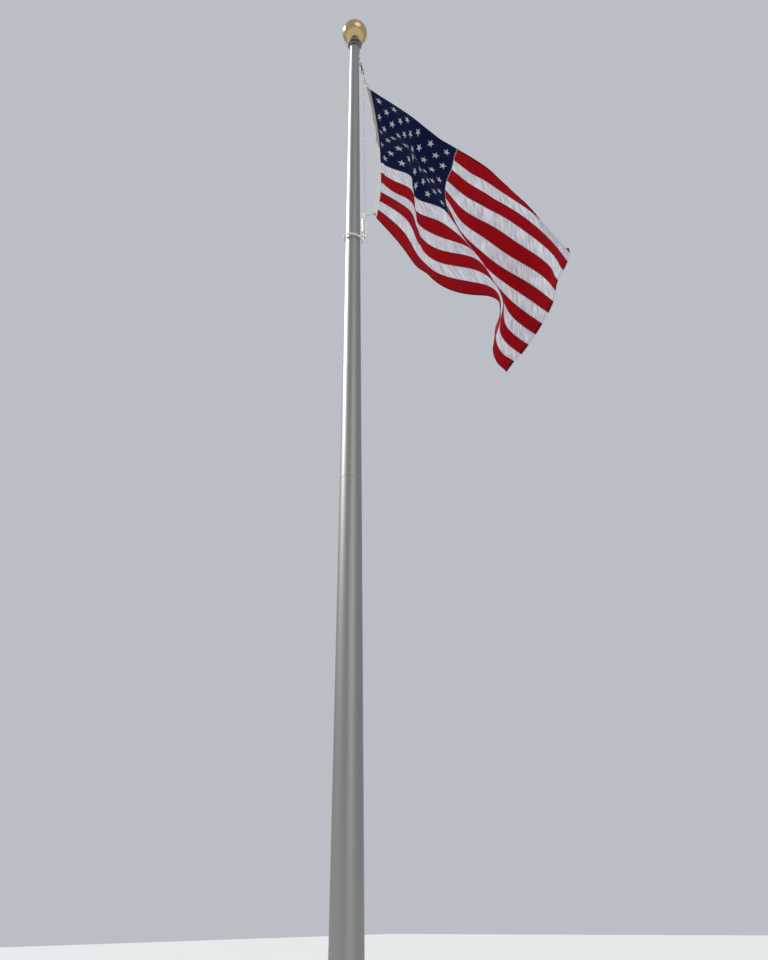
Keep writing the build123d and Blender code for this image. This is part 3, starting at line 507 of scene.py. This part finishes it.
MAT = {
    "shaft_aluminium": metal("satin_shaft", (0.29, 0.285, 0.275), (0.36, 0.355, 0.34), 0.45, 260, 2.2, 0.06),
    "mill_aluminium": metal("mill_aluminium", (0.55, 0.55, 0.55), (0.66, 0.66, 0.65), 0.36, 500, 9),
    "cast_aluminium": metal(
        "cast_truck", (0.17, 0.165, 0.16), (0.26, 0.25, 0.24), 0.42, 700, 25, depth=0.0002,
    ),
    "stainless": metal("stainless", (0.55, 0.55, 0.55), (0.70, 0.70, 0.69), 0.24, 900, 60),
    "brass_fittings": metal("brass", (0.50, 0.38, 0.17), (0.68, 0.52, 0.24), 0.34, 900, 70),
    "gold_ball": metal(
        "gold_anodised", (0.50, 0.37, 0.17), (0.62, 0.47, 0.24), 0.20, 500, 12, depth=0.00002,
    ),
    "wire_rope": metal("wire_rope", (0.36, 0.36, 0.37), (0.50, 0.50, 0.50), 0.40, 1200, 90),
    "dark_nylon": plastic("dark_nylon", (0.020, 0.020, 0.025), (0.045, 0.045, 0.05), 0.38),
    "white_rope": plastic("white_rope", (0.62, 0.60, 0.56), (0.78, 0.77, 0.73), 0.7),
    "white_vinyl": plastic("white_vinyl", (0.72, 0.70, 0.64), (0.84, 0.82, 0.76), 0.36, coat=0.3),
    "cream_plastic": plastic("cream_plastic", (0.68, 0.63, 0.52), (0.80, 0.75, 0.63), 0.40, coat=0.2),
    # The heading's canvas comes in two copies: this darker one, with darker stitches, is painted shade for
    # its upper part, and the paler one below is the canvas as lit.
    "heading_canvas": cloth(
        "heading_canvas", (0.34, 0.32, 0.31), (0.46, 0.43, 0.41), (0.4, 0.38, 0.36), 0.06, 0.85, 0.0011,
        (*CANVAS_ROWS, (0.52, 0.50, 0.47)),
    ),
}
HEADING_LIT = cloth(
    "heading_lit", (0.72, 0.71, 0.69), (0.84, 0.83, 0.80), (0.7, 0.68, 0.62), 0.06, 0.85, 0.0011,
    (*CANVAS_ROWS, (0.88, 0.87, 0.84)),
)
RED_DARK, RED_LIGHT, RED_GLOW = (0.27, 0.0012, 0.007), (0.37, 0.003, 0.012), (0.74, 0.004, 0.018)
WHITE_DARK, WHITE_LIGHT, WHITE_GLOW = (0.80, 0.79, 0.86), (0.90, 0.89, 0.94), (0.92, 0.90, 0.94)
BLUE_DARK, BLUE_LIGHT, BLUE_GLOW = (0.0015, 0.006, 0.038), (0.003, 0.012, 0.070), (0.004, 0.020, 0.13)
SEAM_PINK, SEAM_RED, SEAM_NAVY = (0.80, 0.58, 0.64), (0.11, 0.001, 0.008), (0.004, 0.007, 0.030)
# Red and white take the painted wrinkle shade; blue takes none.
CLOTH_RED = cloth("cloth_red", RED_DARK, RED_LIGHT, RED_GLOW, 0.35, wrinkle_shade=0.84)
CLOTH_WHITE = cloth("cloth_white", WHITE_DARK, WHITE_LIGHT, WHITE_GLOW, 0.35, wrinkle_shade=0.70)
CLOTH_BLUE = cloth("cloth_blue", BLUE_DARK, BLUE_LIGHT, BLUE_GLOW, 0.30)
STAR_CLOTH = cloth("star_cloth", (0.42, 0.43, 0.46), (0.58, 0.59, 0.60), (0.4, 0.42, 0.45), 0.10, 0.7)
SEAM_STRIPE = cloth(
    "seam_stripe", SEAM_PINK, SEAM_PINK, SEAM_PINK, 0.25, rows=(*SEAM_ROWS, (0.66, 0.60, 0.62)),
    second=(SEAM_RED, (0.30, 0.002, 0.01)),
)
SEAM_FIELD = cloth(
    "seam_field", (0.62, 0.62, 0.68), (0.70, 0.70, 0.76), (0.6, 0.6, 0.66), 0.2,
    rows=(*SEAM_ROWS, (0.60, 0.60, 0.64)), second=(SEAM_NAVY, (0.004, 0.01, 0.04)),
)
HEM_RED = cloth(
    "hem_red", SEAM_RED, RED_DARK, (0.34, 0.003, 0.012), 0.25, rows=(*HEM_ROWS, (0.34, 0.02, 0.03)),
)
HEM_WHITE = cloth(
    "hem_white", (0.62, 0.61, 0.68), (0.76, 0.75, 0.80), WHITE_GLOW, 0.2,
    rows=(*HEM_ROWS, (0.84, 0.83, 0.86)),
)
HEM_BLUE = cloth(
    "hem_blue", SEAM_NAVY, BLUE_DARK, (0.005, 0.012, 0.05), 0.2, rows=(*HEM_ROWS, (0.02, 0.03, 0.09)),
)
MAT["flag_cloth"] = CLOTH_RED


def dress_solids():
    """The solids' own faces take the materials of their slots."""
    for row in frame["record"]["subparts"]:
        node = nodes[row["node"]]
        for slot in node.material_slots:
            slot.material = MAT[row["material_slot"]]


# Mesh helpers

def add_piece(name, verts, faces, materials, body="truck", smooth=True):
    """Mesh object that rides on a body."""
    mesh = bpy.data.meshes.new(name)
    mesh.from_pydata([tuple(v) for v in verts], [], [tuple(f) for f in faces])
    mesh.update()
    piece = bpy.data.objects.new(name, mesh)
    bpy.context.collection.objects.link(piece)
    for material in materials if isinstance(materials, (list, tuple)) else [materials]:
        mesh.materials.append(material)
    if smooth:
        mesh.polygons.foreach_set("use_smooth", [True] * len(mesh.polygons))
    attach(piece, body)
    return piece


def tube_faces(count, sides, first=0):
    """Faces of a closed tube of rings, with a cap at each end."""
    faces = []
    for i in range(count - 1):
        near, far = first + i * sides, first + (i + 1) * sides
        for k in range(sides):
            n = (k + 1) % sides
            faces.append((near + k, near + n, far + n, far + k))
    faces.append(tuple(first + k for k in range(sides - 1, -1, -1)))
    faces.append(tuple(first + (count - 1) * sides + k for k in range(sides)))
    return faces


# Flag surface

def natural_spline(values, places):
    """Smooth curve through equally spaced values, at places from 0 to 1. values may hold rows."""
    values = np.asarray(values, float)
    count = len(values)
    system = np.zeros((count, count))
    system[0, 0] = system[-1, -1] = 1
    right = np.zeros_like(values)
    for i in range(1, count - 1):
        system[i, i - 1 : i + 2] = (1, 4, 1)
        right[i] = 6 * (values[i + 1] - 2 * values[i] + values[i - 1])
    curve = np.linalg.solve(system, right.reshape(count, -1)).reshape(values.shape)
    spot = np.clip(np.asarray(places) * (count - 1), 0, count - 1)
    index = np.minimum(spot.astype(int), count - 2)
    t = (spot - index).reshape((-1,) + (1,) * (values.ndim - 1))
    first, second = values[index], values[index + 1]
    bend_first, bend_second = curve[index], curve[index + 1]
    return (
        first * (1 - t)
        + second * t
        + ((1 - t) ** 3 - (1 - t)) * bend_first / 6
        + (t**3 - t) * bend_second / 6
    )


def hung_stations():
    """Places of the stations, rows down the hoist and columns along the fly, in metres."""
    rows = []
    for row, hoist_x in enumerate(ROW_HOIST_X):
        level = FLAG_TOP - HOIST * 1000 * row / (len(ROW_HOIST_X) - 1)
        depths, lifts = ROW_DEPTH[row], ROW_LIFT[row]
        span = (FLY - HEADING_WIDTH) * 1000 / (len(depths) - 1)
        x = hoist_x + HEADING_WIDTH * 1000 + SEAM_GAP * 1000
        stations = [(x, depths[0], level + lifts[0])]
        for i in range(1, len(depths)):
            run = sqrt(span**2 - (depths[i] - depths[i - 1]) ** 2 - (lifts[i] - lifts[i - 1]) ** 2)
            x += run * (1 - ROW_GATHER[row])
            stations.append((x, depths[i], level + lifts[i]))
        rows.append(stations)
    return np.array(rows) / 1000


def hung_surface(columns, rows):
    """Smooth grid through the stations: array of columns by rows by 3."""
    across = natural_spline(hung_stations(), np.linspace(0, 1, rows))
    return natural_spline(np.swapaxes(across, 0, 1), np.linspace(0, 1, columns))


def line_distance(along, down, fold):
    """Distance on the cloth from a fold's line."""
    start_along, start_down, end_along, end_down = fold[:4]
    reach_along = end_along - start_along
    reach_down = end_down - start_down
    length = reach_along**2 + reach_down**2 + 1e-9
    share = ((along - start_along) * reach_along + (down - start_down) * reach_down) / length
    share = np.clip(share, 0, 1)
    return np.hypot(along - start_along - share * reach_along, down - start_down - share * reach_down)


def surface_normals(grid):
    """Unit normals of the grid, towards the front face (-Y)."""
    along = np.gradient(grid, axis=0)
    down = np.gradient(grid, axis=1)
    normals = np.cross(down, along)
    normals /= np.linalg.norm(normals, axis=-1, keepdims=True)
    return normals * (-1 if normals[:, :, 1].mean() > 0 else 1)


def roll_top_edge(grid, along):
    """The strip above the roll line turns back behind the flag, keeping its length."""
    step = HOIST / (grid.shape[1] - 1)
    reaches = np.interp(along[:, 0], ROLL_PLACES, ROLL_REACHES)
    turns = np.radians(np.interp(along[:, 0], ROLL_PLACES, ROLL_TURNS))
    for i in np.nonzero(reaches > 0)[0]:
        rows = int(np.ceil(reaches[i] / step))
        rise = grid[i, 0] - grid[i, rows]
        length = np.linalg.norm(rise) / rows
        rise = rise / np.linalg.norm(rise)
        run = grid[min(i + 1, len(grid) - 1), rows] - grid[max(i - 1, 0), rows]
        back = np.cross(run / np.linalg.norm(run), rise)
        back *= 1 if back[1] > 0 else -1
        place = grid[i, rows].copy()
        for j in range(rows - 1, -1, -1):
            past = max(0.0, reaches[i] - (j + 0.5) * step)
            turn = min(past / ROLL_RADIUS, turns[i])
            place = place + length * (cos(turn) * rise + sin(turn) * back)
            grid[i, j] = place
    return grid


def wrinkle_height(along, down):
    """Height of the fine wrinkles: uneven waves that lean across each stripe and fade at its seams."""
    rng = np.random.default_rng(WRINKLE_SEED)
    lean = radians(WRINKLE_LEAN)
    wander = 0
    for _ in range(4):
        tall, along_rate, down_rate = rng.uniform(0.5, 1.0), rng.uniform(5, 13), rng.uniform(4, 11)
        wander = wander + tall * np.sin(along * along_rate + down * down_rate + rng.uniform(0, 6))
    across = along * cos(lean) - down * sin(lean)
    main = np.sin(2 * pi * across / WRINKLE_LENGTH + 1.6 * wander)
    minor = np.sin(2 * pi * (across + 0.12 * down) / (0.61 * WRINKLE_LENGTH) - 1.1 * wander)
    patch = 0.62 + 0.38 * np.sin(along * 7.3 + 2.1 * wander) * np.sin(down * 11.7 - along * 2.9)
    stripe = np.minimum((down / STRIPE).astype(int), STRIPES - 1)
    inside = np.sin(pi * np.clip(down / STRIPE - stripe, 0, 1))
    red_share, white_share, field_share = WRINKLE_SHARES
    share = np.where(stripe % 2 == 1, white_share, red_share)
    share = np.where((along < FIELD_EDGE) & (stripe < FIELD_STRIPES), field_share, share)
    fly_share = np.interp(along, WRINKLE_PLACES, WRINKLE_FADES)
    return WRINKLE_HEIGHT * (0.8 * main + 0.35 * minor) * patch * inside**0.6 * share * fly_share


def flag_surface():
    """Fine grid of the hung cloth: places, normals and the cut's own coordinates."""
    rows = STRIPES * PER_STRIPE + 1
    along, down = np.meshgrid(np.linspace(0, CUT_FLY, COLUMNS), np.linspace(0, HOIST, rows), indexing="ij")
    grid = hung_surface(COLUMNS, rows)
    pin = 1 - np.exp(-((along / PIN_REACH) ** 2))
    for fold in FOLDS:
        share = np.exp(-((line_distance(along, down, fold) / fold[4]) ** 2)) * pin
        grid += share[:, :, None] * np.array(fold[5:8]) / 1000
    normals = surface_normals(grid)
    for crease in CREASES:
        distance = line_distance(along, down, crease)
        share = np.exp(-np.sqrt((distance / crease[4]) ** 2 + 0.02)) * pin
        grid += share[:, :, None] * normals * crease[5] / 1000
    grid = roll_top_edge(grid, along)
    normals = surface_normals(grid)
    grid += (wrinkle_height(along, down) * pin)[:, :, None] * normals
    return grid, surface_normals(grid), along, down


SHEET, SHEET_NORMALS, SHEET_ALONG, SHEET_DOWN = flag_surface()


def on_cloth(along, down, lift=0.0):
    """Places on the hung cloth for points of the cut, raised off it along its normal."""
    columns, rows = SHEET.shape[:2]
    across = np.clip(np.asarray(along, float) / CUT_FLY * (columns - 1), 0, columns - 1.0001)
    below = np.clip(np.asarray(down, float) / HOIST * (rows - 1), 0, rows - 1.0001)
    i, j = across.astype(int), below.astype(int)
    s, t = (across - i)[..., None], (below - j)[..., None]

    def blend(values):
        near = values[i, j] * (1 - s) + values[i + 1, j] * s
        far = values[i, j + 1] * (1 - s) + values[i + 1, j + 1] * s
        return near * (1 - t) + far * t

    return blend(SHEET) + blend(SHEET_NORMALS) * np.asarray(lift)[..., None]


# Flag pieces

def make_cloth():
    """The cloth: red, white and blue by face, with its own coordinates for the weave."""
    columns, rows = SHEET.shape[:2]
    faces, kinds = [], []
    field_column = int(round(FIELD_EDGE / CUT_FLY * (columns - 1)))
    for i in range(columns - 1):
        for j in range(rows - 1):
            faces.append((i * rows + j, i * rows + j + 1, (i + 1) * rows + j + 1, (i + 1) * rows + j))
            stripe = j // PER_STRIPE
            kinds.append(2 if i < field_column and stripe < FIELD_STRIPES else stripe % 2)
    kinds_of_cloth = [CLOTH_RED, CLOTH_WHITE, CLOTH_BLUE]
    piece = add_piece("flag", SHEET.reshape(-1, 3), faces, kinds_of_cloth)
    piece.data.polygons.foreach_set("material_index", kinds)
    set_cut_coordinates(piece, SHEET_ALONG.ravel(), SHEET_DOWN.ravel())
    solid = piece.modifiers.new("thickness", "SOLIDIFY")
    solid.thickness = CLOTH_THICK
    solid.offset = 0
    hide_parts("flag_cloth")
    return piece


def set_cut_coordinates(piece, along, across):
    """UV in metres, one pair for each vertex."""
    layer = piece.data.uv_layers.new(name="cut")
    corners = np.zeros(len(piece.data.loops), int)
    piece.data.loops.foreach_get("vertex_index", corners)
    pairs = np.stack([np.asarray(along)[corners], np.asarray(across)[corners]], -1)
    layer.data.foreach_set("uv", pairs.ravel())


def sewn_band(start, end, width, lift):
    """Flat tube that wraps the cloth along a straight line of the cut: points, faces and coordinates."""
    start, end = np.array(start), np.array(end)
    length = np.linalg.norm(end - start)
    way = (end - start) / length
    side = np.array([-way[1], way[0]])
    count = max(3, int(length / BAND_STEP) + 1)
    run = np.linspace(0, length, count)
    middle = start + run[:, None] * way
    rings, across = [], []
    for offset, height in BAND_SECTION:
        spot = middle + offset * width * side
        rings.append(on_cloth(spot[:, 0], spot[:, 1], np.full(count, height * lift)))
        across.append(np.full(count, (offset + 0.5) * width))
    sides = len(rings)
    points = np.stack(rings, 1).reshape(-1, 3)
    return points, tube_faces(count, sides), np.repeat(run, sides), np.stack(across, 1).ravel()


def sew_bands(name, bands, material):
    """One piece from several bands of the same cloth."""
    points, faces, along, across = [], [], [], []
    first = 0
    for band in bands:
        band_points, band_faces, band_along, band_across = sewn_band(*band)
        points.extend(band_points)
        faces.extend(tuple(first + k for k in face) for face in band_faces)
        along.extend(band_along)
        across.extend(band_across)
        first += len(band_points)
    piece = add_piece(name, points, faces, material)
    set_cut_coordinates(piece, along, across)
    return piece


def make_seams():
    """Felled seams between the stripes and round the field, hems along the free edges."""
    stripe_seams, field_seams = [], []
    for k in range(1, STRIPES):
        red_below = k % 2 == 0
        if k < FIELD_STRIPES:
            run = (FIELD_EDGE, CUT_FLY - SEAM_STOP)
        elif k == FIELD_STRIPES:
            field_seams.append(((FIELD_EDGE, k * STRIPE), (0.0, k * STRIPE), SEAM_WIDTH, SEAM_LIFT))
            run = (FIELD_EDGE, CUT_FLY - SEAM_STOP)
        else:
            run = (0.0, CUT_FLY - SEAM_STOP)
        if not red_below:
            run = run[::-1]
        stripe_seams.append(((run[0], k * STRIPE), (run[1], k * STRIPE), SEAM_WIDTH, SEAM_LIFT))
    field_corner = (FIELD_EDGE, FIELD_STRIPES * STRIPE)
    field_seams.append(((FIELD_EDGE, 0.0), field_corner, SEAM_WIDTH, SEAM_LIFT * FIELD_SEAM_FULL))
    hem = HEM_WIDTH / 2
    fly = CUT_FLY - FLY_HEM_WIDTH / 2
    blue_hem = [((0.0, hem), (FIELD_EDGE, hem), HEM_WIDTH, SEAM_LIFT)]
    red_hem = [
        ((FIELD_EDGE, hem), (CUT_FLY, hem), HEM_WIDTH, SEAM_LIFT),
        ((0.0, HOIST - hem), (CUT_FLY, HOIST - hem), HEM_WIDTH, SEAM_LIFT),
    ]
    white_hem = []
    for k in range(STRIPES):
        band = ((fly, k * STRIPE), (fly, (k + 1) * STRIPE), FLY_HEM_WIDTH, SEAM_LIFT)
        (red_hem if k % 2 == 0 else white_hem).append(band)
    return [
        sew_bands("stripe_seams", stripe_seams, SEAM_STRIPE),
        sew_bands("field_seams", field_seams, SEAM_FIELD),
        sew_bands("field_top_hem", blue_hem, HEM_BLUE),
        sew_bands("red_hems", red_hem, HEM_RED),
        sew_bands("white_fly_hems", white_hem, HEM_WHITE),
    ]


def star_patch(centre_along, centre_down, side):
    """One sewn star on one face of the cloth: a raised, slightly domed patch with turned-in edges."""
    outer = STAR_SPAN / 2
    inner = outer * STAR_INNER
    lifts, along, down, faces = [], [], [], []
    corners = 20
    for share, lift in STAR_RINGS:
        for k in range(corners):
            angle = 2 * pi * k / corners - pi / 2
            tip = k % 4
            if tip == 0:
                radius = outer
            elif tip == 2:
                radius = inner
            else:
                radius = 0.5 * hypot(outer * cos(pi / 5) + inner, outer * sin(pi / 5))
                towards = atan2(outer * sin(pi / 5) / 2, (outer * cos(pi / 5) + inner) / 2)
                angle = 2 * pi * (k - tip) / corners - pi / 2
                angle += (pi / 5 - towards) if tip == 1 else (pi / 5 + towards)
            along.append(centre_along + share * radius * cos(angle))
            down.append(centre_down + share * radius * sin(angle))
            lifts.append(side * lift)
    along.append(centre_along)
    down.append(centre_down)
    lifts.append(side * STAR_RINGS[-1][1])
    for r in range(len(STAR_RINGS) - 1):
        for k in range(corners):
            n = (k + 1) % corners
            faces.append((r * corners + k, r * corners + n, (r + 1) * corners + n, (r + 1) * corners + k))
    last = (len(STAR_RINGS) - 1) * corners
    for k in range(corners):
        faces.append((last + k, last + (k + 1) % corners, last + corners))
    return on_cloth(along, down, np.array(lifts)), faces, along, down


def make_stars():
    """Fifty stars on each face, six and five to a row."""
    points, faces, along, down = [], [], [], []
    row_step = FIELD_STRIPES * STRIPE / (STAR_ROWS + 1)
    column_step = FIELD_EDGE / (STAR_COLUMNS + 1)
    for row in range(STAR_ROWS):
        count = 6 if row % 2 == 0 else 5
        for k in range(count):
            place_along = column_step * (2 * k + 1 + row % 2)
            place_down = row_step * (row + 1)
            for side in (1, -1):
                patch = star_patch(place_along, place_down, side)
                first = len(points)
                points.extend(patch[0])
                order = 1 if side > 0 else -1
                faces.extend(tuple(first + n for n in face)[::order] for face in patch[1])
                along.extend(patch[2])
                down.extend(patch[3])
    piece = add_piece("stars", points, faces, STAR_CLOTH)
    set_cut_coordinates(piece, along, down)
    return piece


def heading_line(places):
    """The cloth's edge at the hoist from top to bottom, laid at Y = 0."""
    inner = on_cloth(np.zeros_like(places), places * HOIST)
    inner[:, 1] = 0
    return inner


def make_heading():
    """Folded canvas along the hoist: slightly full, creased by the twists in its free middle."""
    count = HEADING_STEPS
    places = np.linspace(0, 1, count)
    inner = heading_line(places) + np.array([HEADING_OVERLAP, 0, 0])
    width = HEADING_WIDTH + SEAM_GAP + HEADING_OVERLAP
    from_end = np.minimum(places, 1 - places)
    free = np.clip((from_end - HEADING_HELD) / HEADING_EASE, 0, 1)
    turn = np.zeros(count)
    squeeze = np.ones(count)
    for place, angle, reach in HEADING_TWISTS:
        share = np.exp(-(((places - place) / reach) ** 2))
        turn += radians(angle) * share
        squeeze -= HEADING_SQUEEZE * share
    turn *= free
    wave = free * sum(tall * np.sin(places * rate + shift) for tall, rate, shift in HEADING_WAVES)
    points, along, across = [], [], []
    length = np.concatenate([[0], np.cumsum(np.linalg.norm(np.diff(inner, axis=0), axis=1))])
    for i in range(count):
        thick = HEADING_FULL * (1 + 0.25 * sin(places[i] * 57) * free[i])
        for share, half in HEADING_SECTION:
            reach = (share - 1) * width * squeeze[i]
            x = inner[i, 0] + reach * cos(turn[i])
            y = wave[i] * (1 - share) + reach * sin(turn[i]) * 0.5 + half * thick
            points.append((x, y, inner[i, 2]))
            along.append(length[i])
            across.append(share * width)
    sides = len(HEADING_SECTION)
    faces = tube_faces(count, sides)
    piece = add_piece("heading", points, faces, [MAT["heading_canvas"], HEADING_LIT])
    # Painted shade: the heading's upper part takes the darker canvas, and the part below HEADING_SHADE takes
    # the lit one.
    shades = [int(face[0] // sides > HEADING_SHADE * count) for face in faces]
    piece.data.polygons.foreach_set("material_index", shades)
    set_cut_coordinates(piece, along, across)
    for name in ("top_grommet", "bottom_grommet"):
        low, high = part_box(name)
        cut_hole(piece, (Vector(low) + Vector(high)) / 2, GROMMET_BARREL / 2)
    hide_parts("flag_heading")


def cut_hole(piece, centre, radius):
    """Round hole through a piece along Y."""
    bpy.ops.mesh.primitive_cylinder_add(
        vertices=HOLE_SIDES, radius=radius, depth=HOLE_DEPTH, location=centre, rotation=(pi / 2, 0, 0),
    )
    cutter = bpy.context.object
    hole = piece.modifiers.new("hole", "BOOLEAN")
    hole.operation = "DIFFERENCE"
    hole.solver = "EXACT"
    hole.object = cutter
    shape = bpy.data.meshes.new_from_object(piece.evaluated_get(bpy.context.evaluated_depsgraph_get()))
    piece.modifiers.clear()
    piece.data = shape
    bpy.data.objects.remove(cutter, do_unlink=True)


def web_path(length):
    """Closed path of the webbing, seen from its edge: a turn round each clip and a run between them."""
    path = []
    for k in range(WEB_TURN_STEPS + 1):
        angle = pi / 2 + pi * k / WEB_TURN_STEPS
        path.append((WEB_ROD * (1 + cos(angle)), WEB_ROD * sin(angle)))
    low_run = []
    for x in np.linspace(WEB_INSET, length - WEB_INSET, WEB_RUN_POINTS):
        past_flat = max(0, abs(2 * x / length - 1) - WEB_FLAT) / (1 - WEB_FLAT)
        low_run.append((x, -WEB_GAP - (WEB_ROD - WEB_GAP) * past_flat))
    path += low_run
    for k in range(WEB_TURN_STEPS + 1):
        angle = -pi / 2 + pi * k / WEB_TURN_STEPS
        path.append((length - WEB_ROD * (1 - cos(angle)), WEB_ROD * sin(angle)))
    return path + [(x, -z) for x, z in reversed(low_run)]


def make_web_tie():
    """Webbing loop through both clips, sewn flat in its middle."""
    web_low, web_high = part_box("weight_tie")
    start = Vector((web_low[0], 0, web_low[2]))
    end = Vector((web_high[0], 0, web_high[2]))
    way = (end - start).normalized()
    start = start - way * WEB_LOOP
    end = end + way * WEB_LOOP
    rise = Vector((-way.z, 0, way.x))
    path = web_path((end - start).length)
    points, faces, along, across = [], [], [], []
    count = len(path)
    walked = 0.0
    for i, (x, z) in enumerate(path):
        before, after = path[i - 1], path[(i + 1) % count]
        tangent = Vector((after[0] - before[0], 0, after[1] - before[1])).normalized()
        out = Vector((tangent.z, 0, -tangent.x))
        walked += hypot(x - before[0], z - before[1]) if i else 0
        for side, lift in ((-1, 0), (1, 0), (1, 1), (-1, 1)):
            y = side * WEB_WIDTH / 2
            spot = start + way * x + rise * z
            spot = spot + (way * out.x + rise * out.z) * lift * WEB_SHEET + Vector((0, y, 0))
            points.append(spot)
            along.append(walked)
            across.append((side + 1) / 2 * WEB_WIDTH)
    for i in range(count):
        n = (i + 1) % count
        for k in range(4):
            m = (k + 1) % 4
            faces.append((i * 4 + k, i * 4 + m, n * 4 + m, n * 4 + k))
    piece = add_piece("web_tie", points, faces, MAT["white_rope"], smooth=False)
    set_cut_coordinates(piece, along, across)
    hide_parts("weight_tie")


def rope_strands(path, diameter, lay_length):
    """Points and faces of a wire rope: strands laid in a helix round a core, along a path."""
    path = np.asarray(path)
    steps = np.linalg.norm(np.diff(path, axis=0), axis=1)
    walked = np.concatenate([[0], np.cumsum(steps)])
    count = max(8, int(walked[-1] / lay_length * POINTS_PER_LAY))
    run = np.linspace(0, walked[-1], count)
    middle = np.stack([np.interp(run, walked, path[:, k]) for k in range(3)], -1)
    way = np.gradient(middle, axis=0)
    way /= np.linalg.norm(way, axis=1, keepdims=True)
    side = np.cross(way, np.array([0.0, 1.0, 0.0]))
    side /= np.linalg.norm(side, axis=1, keepdims=True)
    other = np.cross(way, side)
    thread = diameter / 6
    points, faces = [], []
    for s in range(LINE_STRANDS + 1):
        radius = 0 if s == LINE_STRANDS else diameter / 2 - thread
        angle = 2 * pi * (run / lay_length + s / LINE_STRANDS)
        centre = middle + radius * (np.cos(angle)[:, None] * side + np.sin(angle)[:, None] * other)
        first = len(points)
        for i in range(count):
            for k in range(STRAND_SIDES):
                turn = 2 * pi * k / STRAND_SIDES
                points.append(centre[i] + thread * (cos(turn) * side[i] + sin(turn) * other[i]))
        faces.extend(tube_faces(count, STRAND_SIDES, first))
    return points, faces


def make_down_line():
    """Wire rope from the bright link down to the weight."""
    points, faces = rope_strands(end_centres("down_line"), LINE_DIA, LINE_LAY)
    piece = add_piece("down_rope", points, faces, MAT["wire_rope"])
    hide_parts("down_line")


def end_centres(node):
    """Centres of the two end faces of a straight solid that hangs down, from its own vertices."""
    places = np.array([nodes[node].matrix_world @ v.co for v in nodes[node].data.vertices])
    top = places[places[:, 2] > places[:, 2].max() - END_DEPTH].mean(0)
    bottom = places[places[:, 2] < places[:, 2].min() + END_DEPTH].mean(0)
    return [top, bottom]


def make_floor():
    """Plain pale floor."""
    mesh = bpy.data.meshes.new("floor")
    corners = [(x * FLOOR_REACH, y * FLOOR_REACH, 0) for x, y in ((-1, -1), (1, -1), (1, 1), (-1, 1))]
    mesh.from_pydata(corners, [], [(0, 1, 2, 3)])
    floor = bpy.data.objects.new("floor", mesh)
    bpy.context.collection.objects.link(floor)
    material, tree, shader, _ = start_material("pale_floor")
    grain = place_group(tree, GRAIN, Size=3.0, Patch_Size=0.4)
    colour = mix_colour(tree, grain.outputs["Patch"], (0.62, 0.62, 0.61), (0.68, 0.68, 0.67))
    tree.links.new(colour, shader.inputs["Base Color"])
    shader.inputs["Roughness"].default_value = 0.8
    mesh.materials.append(material)


def make_light():
    """A pale world, a broad key from the left and slightly behind, a weak fill from the front."""
    world = bpy.data.worlds.new("studio")
    bpy.context.scene.world = world
    world.use_nodes = True
    sky = world.node_tree.nodes["Background"]
    sky.inputs[0].default_value = SKY_COLOUR
    sky.inputs[1].default_value = SKY_STRENGTH
    for name, azimuth, height, energy, angle, gloss in LAMPS:
        data = bpy.data.lights.new(name, "SUN")
        data.energy = energy
        data.angle = radians(angle)
        data.specular_factor = gloss
        lamp = bpy.data.objects.new(name, data)
        turn, rise = radians(azimuth), radians(height)
        way = Vector((cos(turn) * cos(rise), sin(turn) * cos(rise), sin(rise)))
        lamp.rotation_mode = "QUATERNION"
        lamp.rotation_quaternion = way.to_track_quat("Z", "Y")
        bpy.context.collection.objects.link(lamp)


make_camera()
dress_solids()
flag = make_cloth()
seams = make_seams()
stars = make_stars()
make_heading()
make_web_tie()
make_down_line()
make_floor()
make_light()
bpy.context.scene.view_settings.view_transform = "Standard"
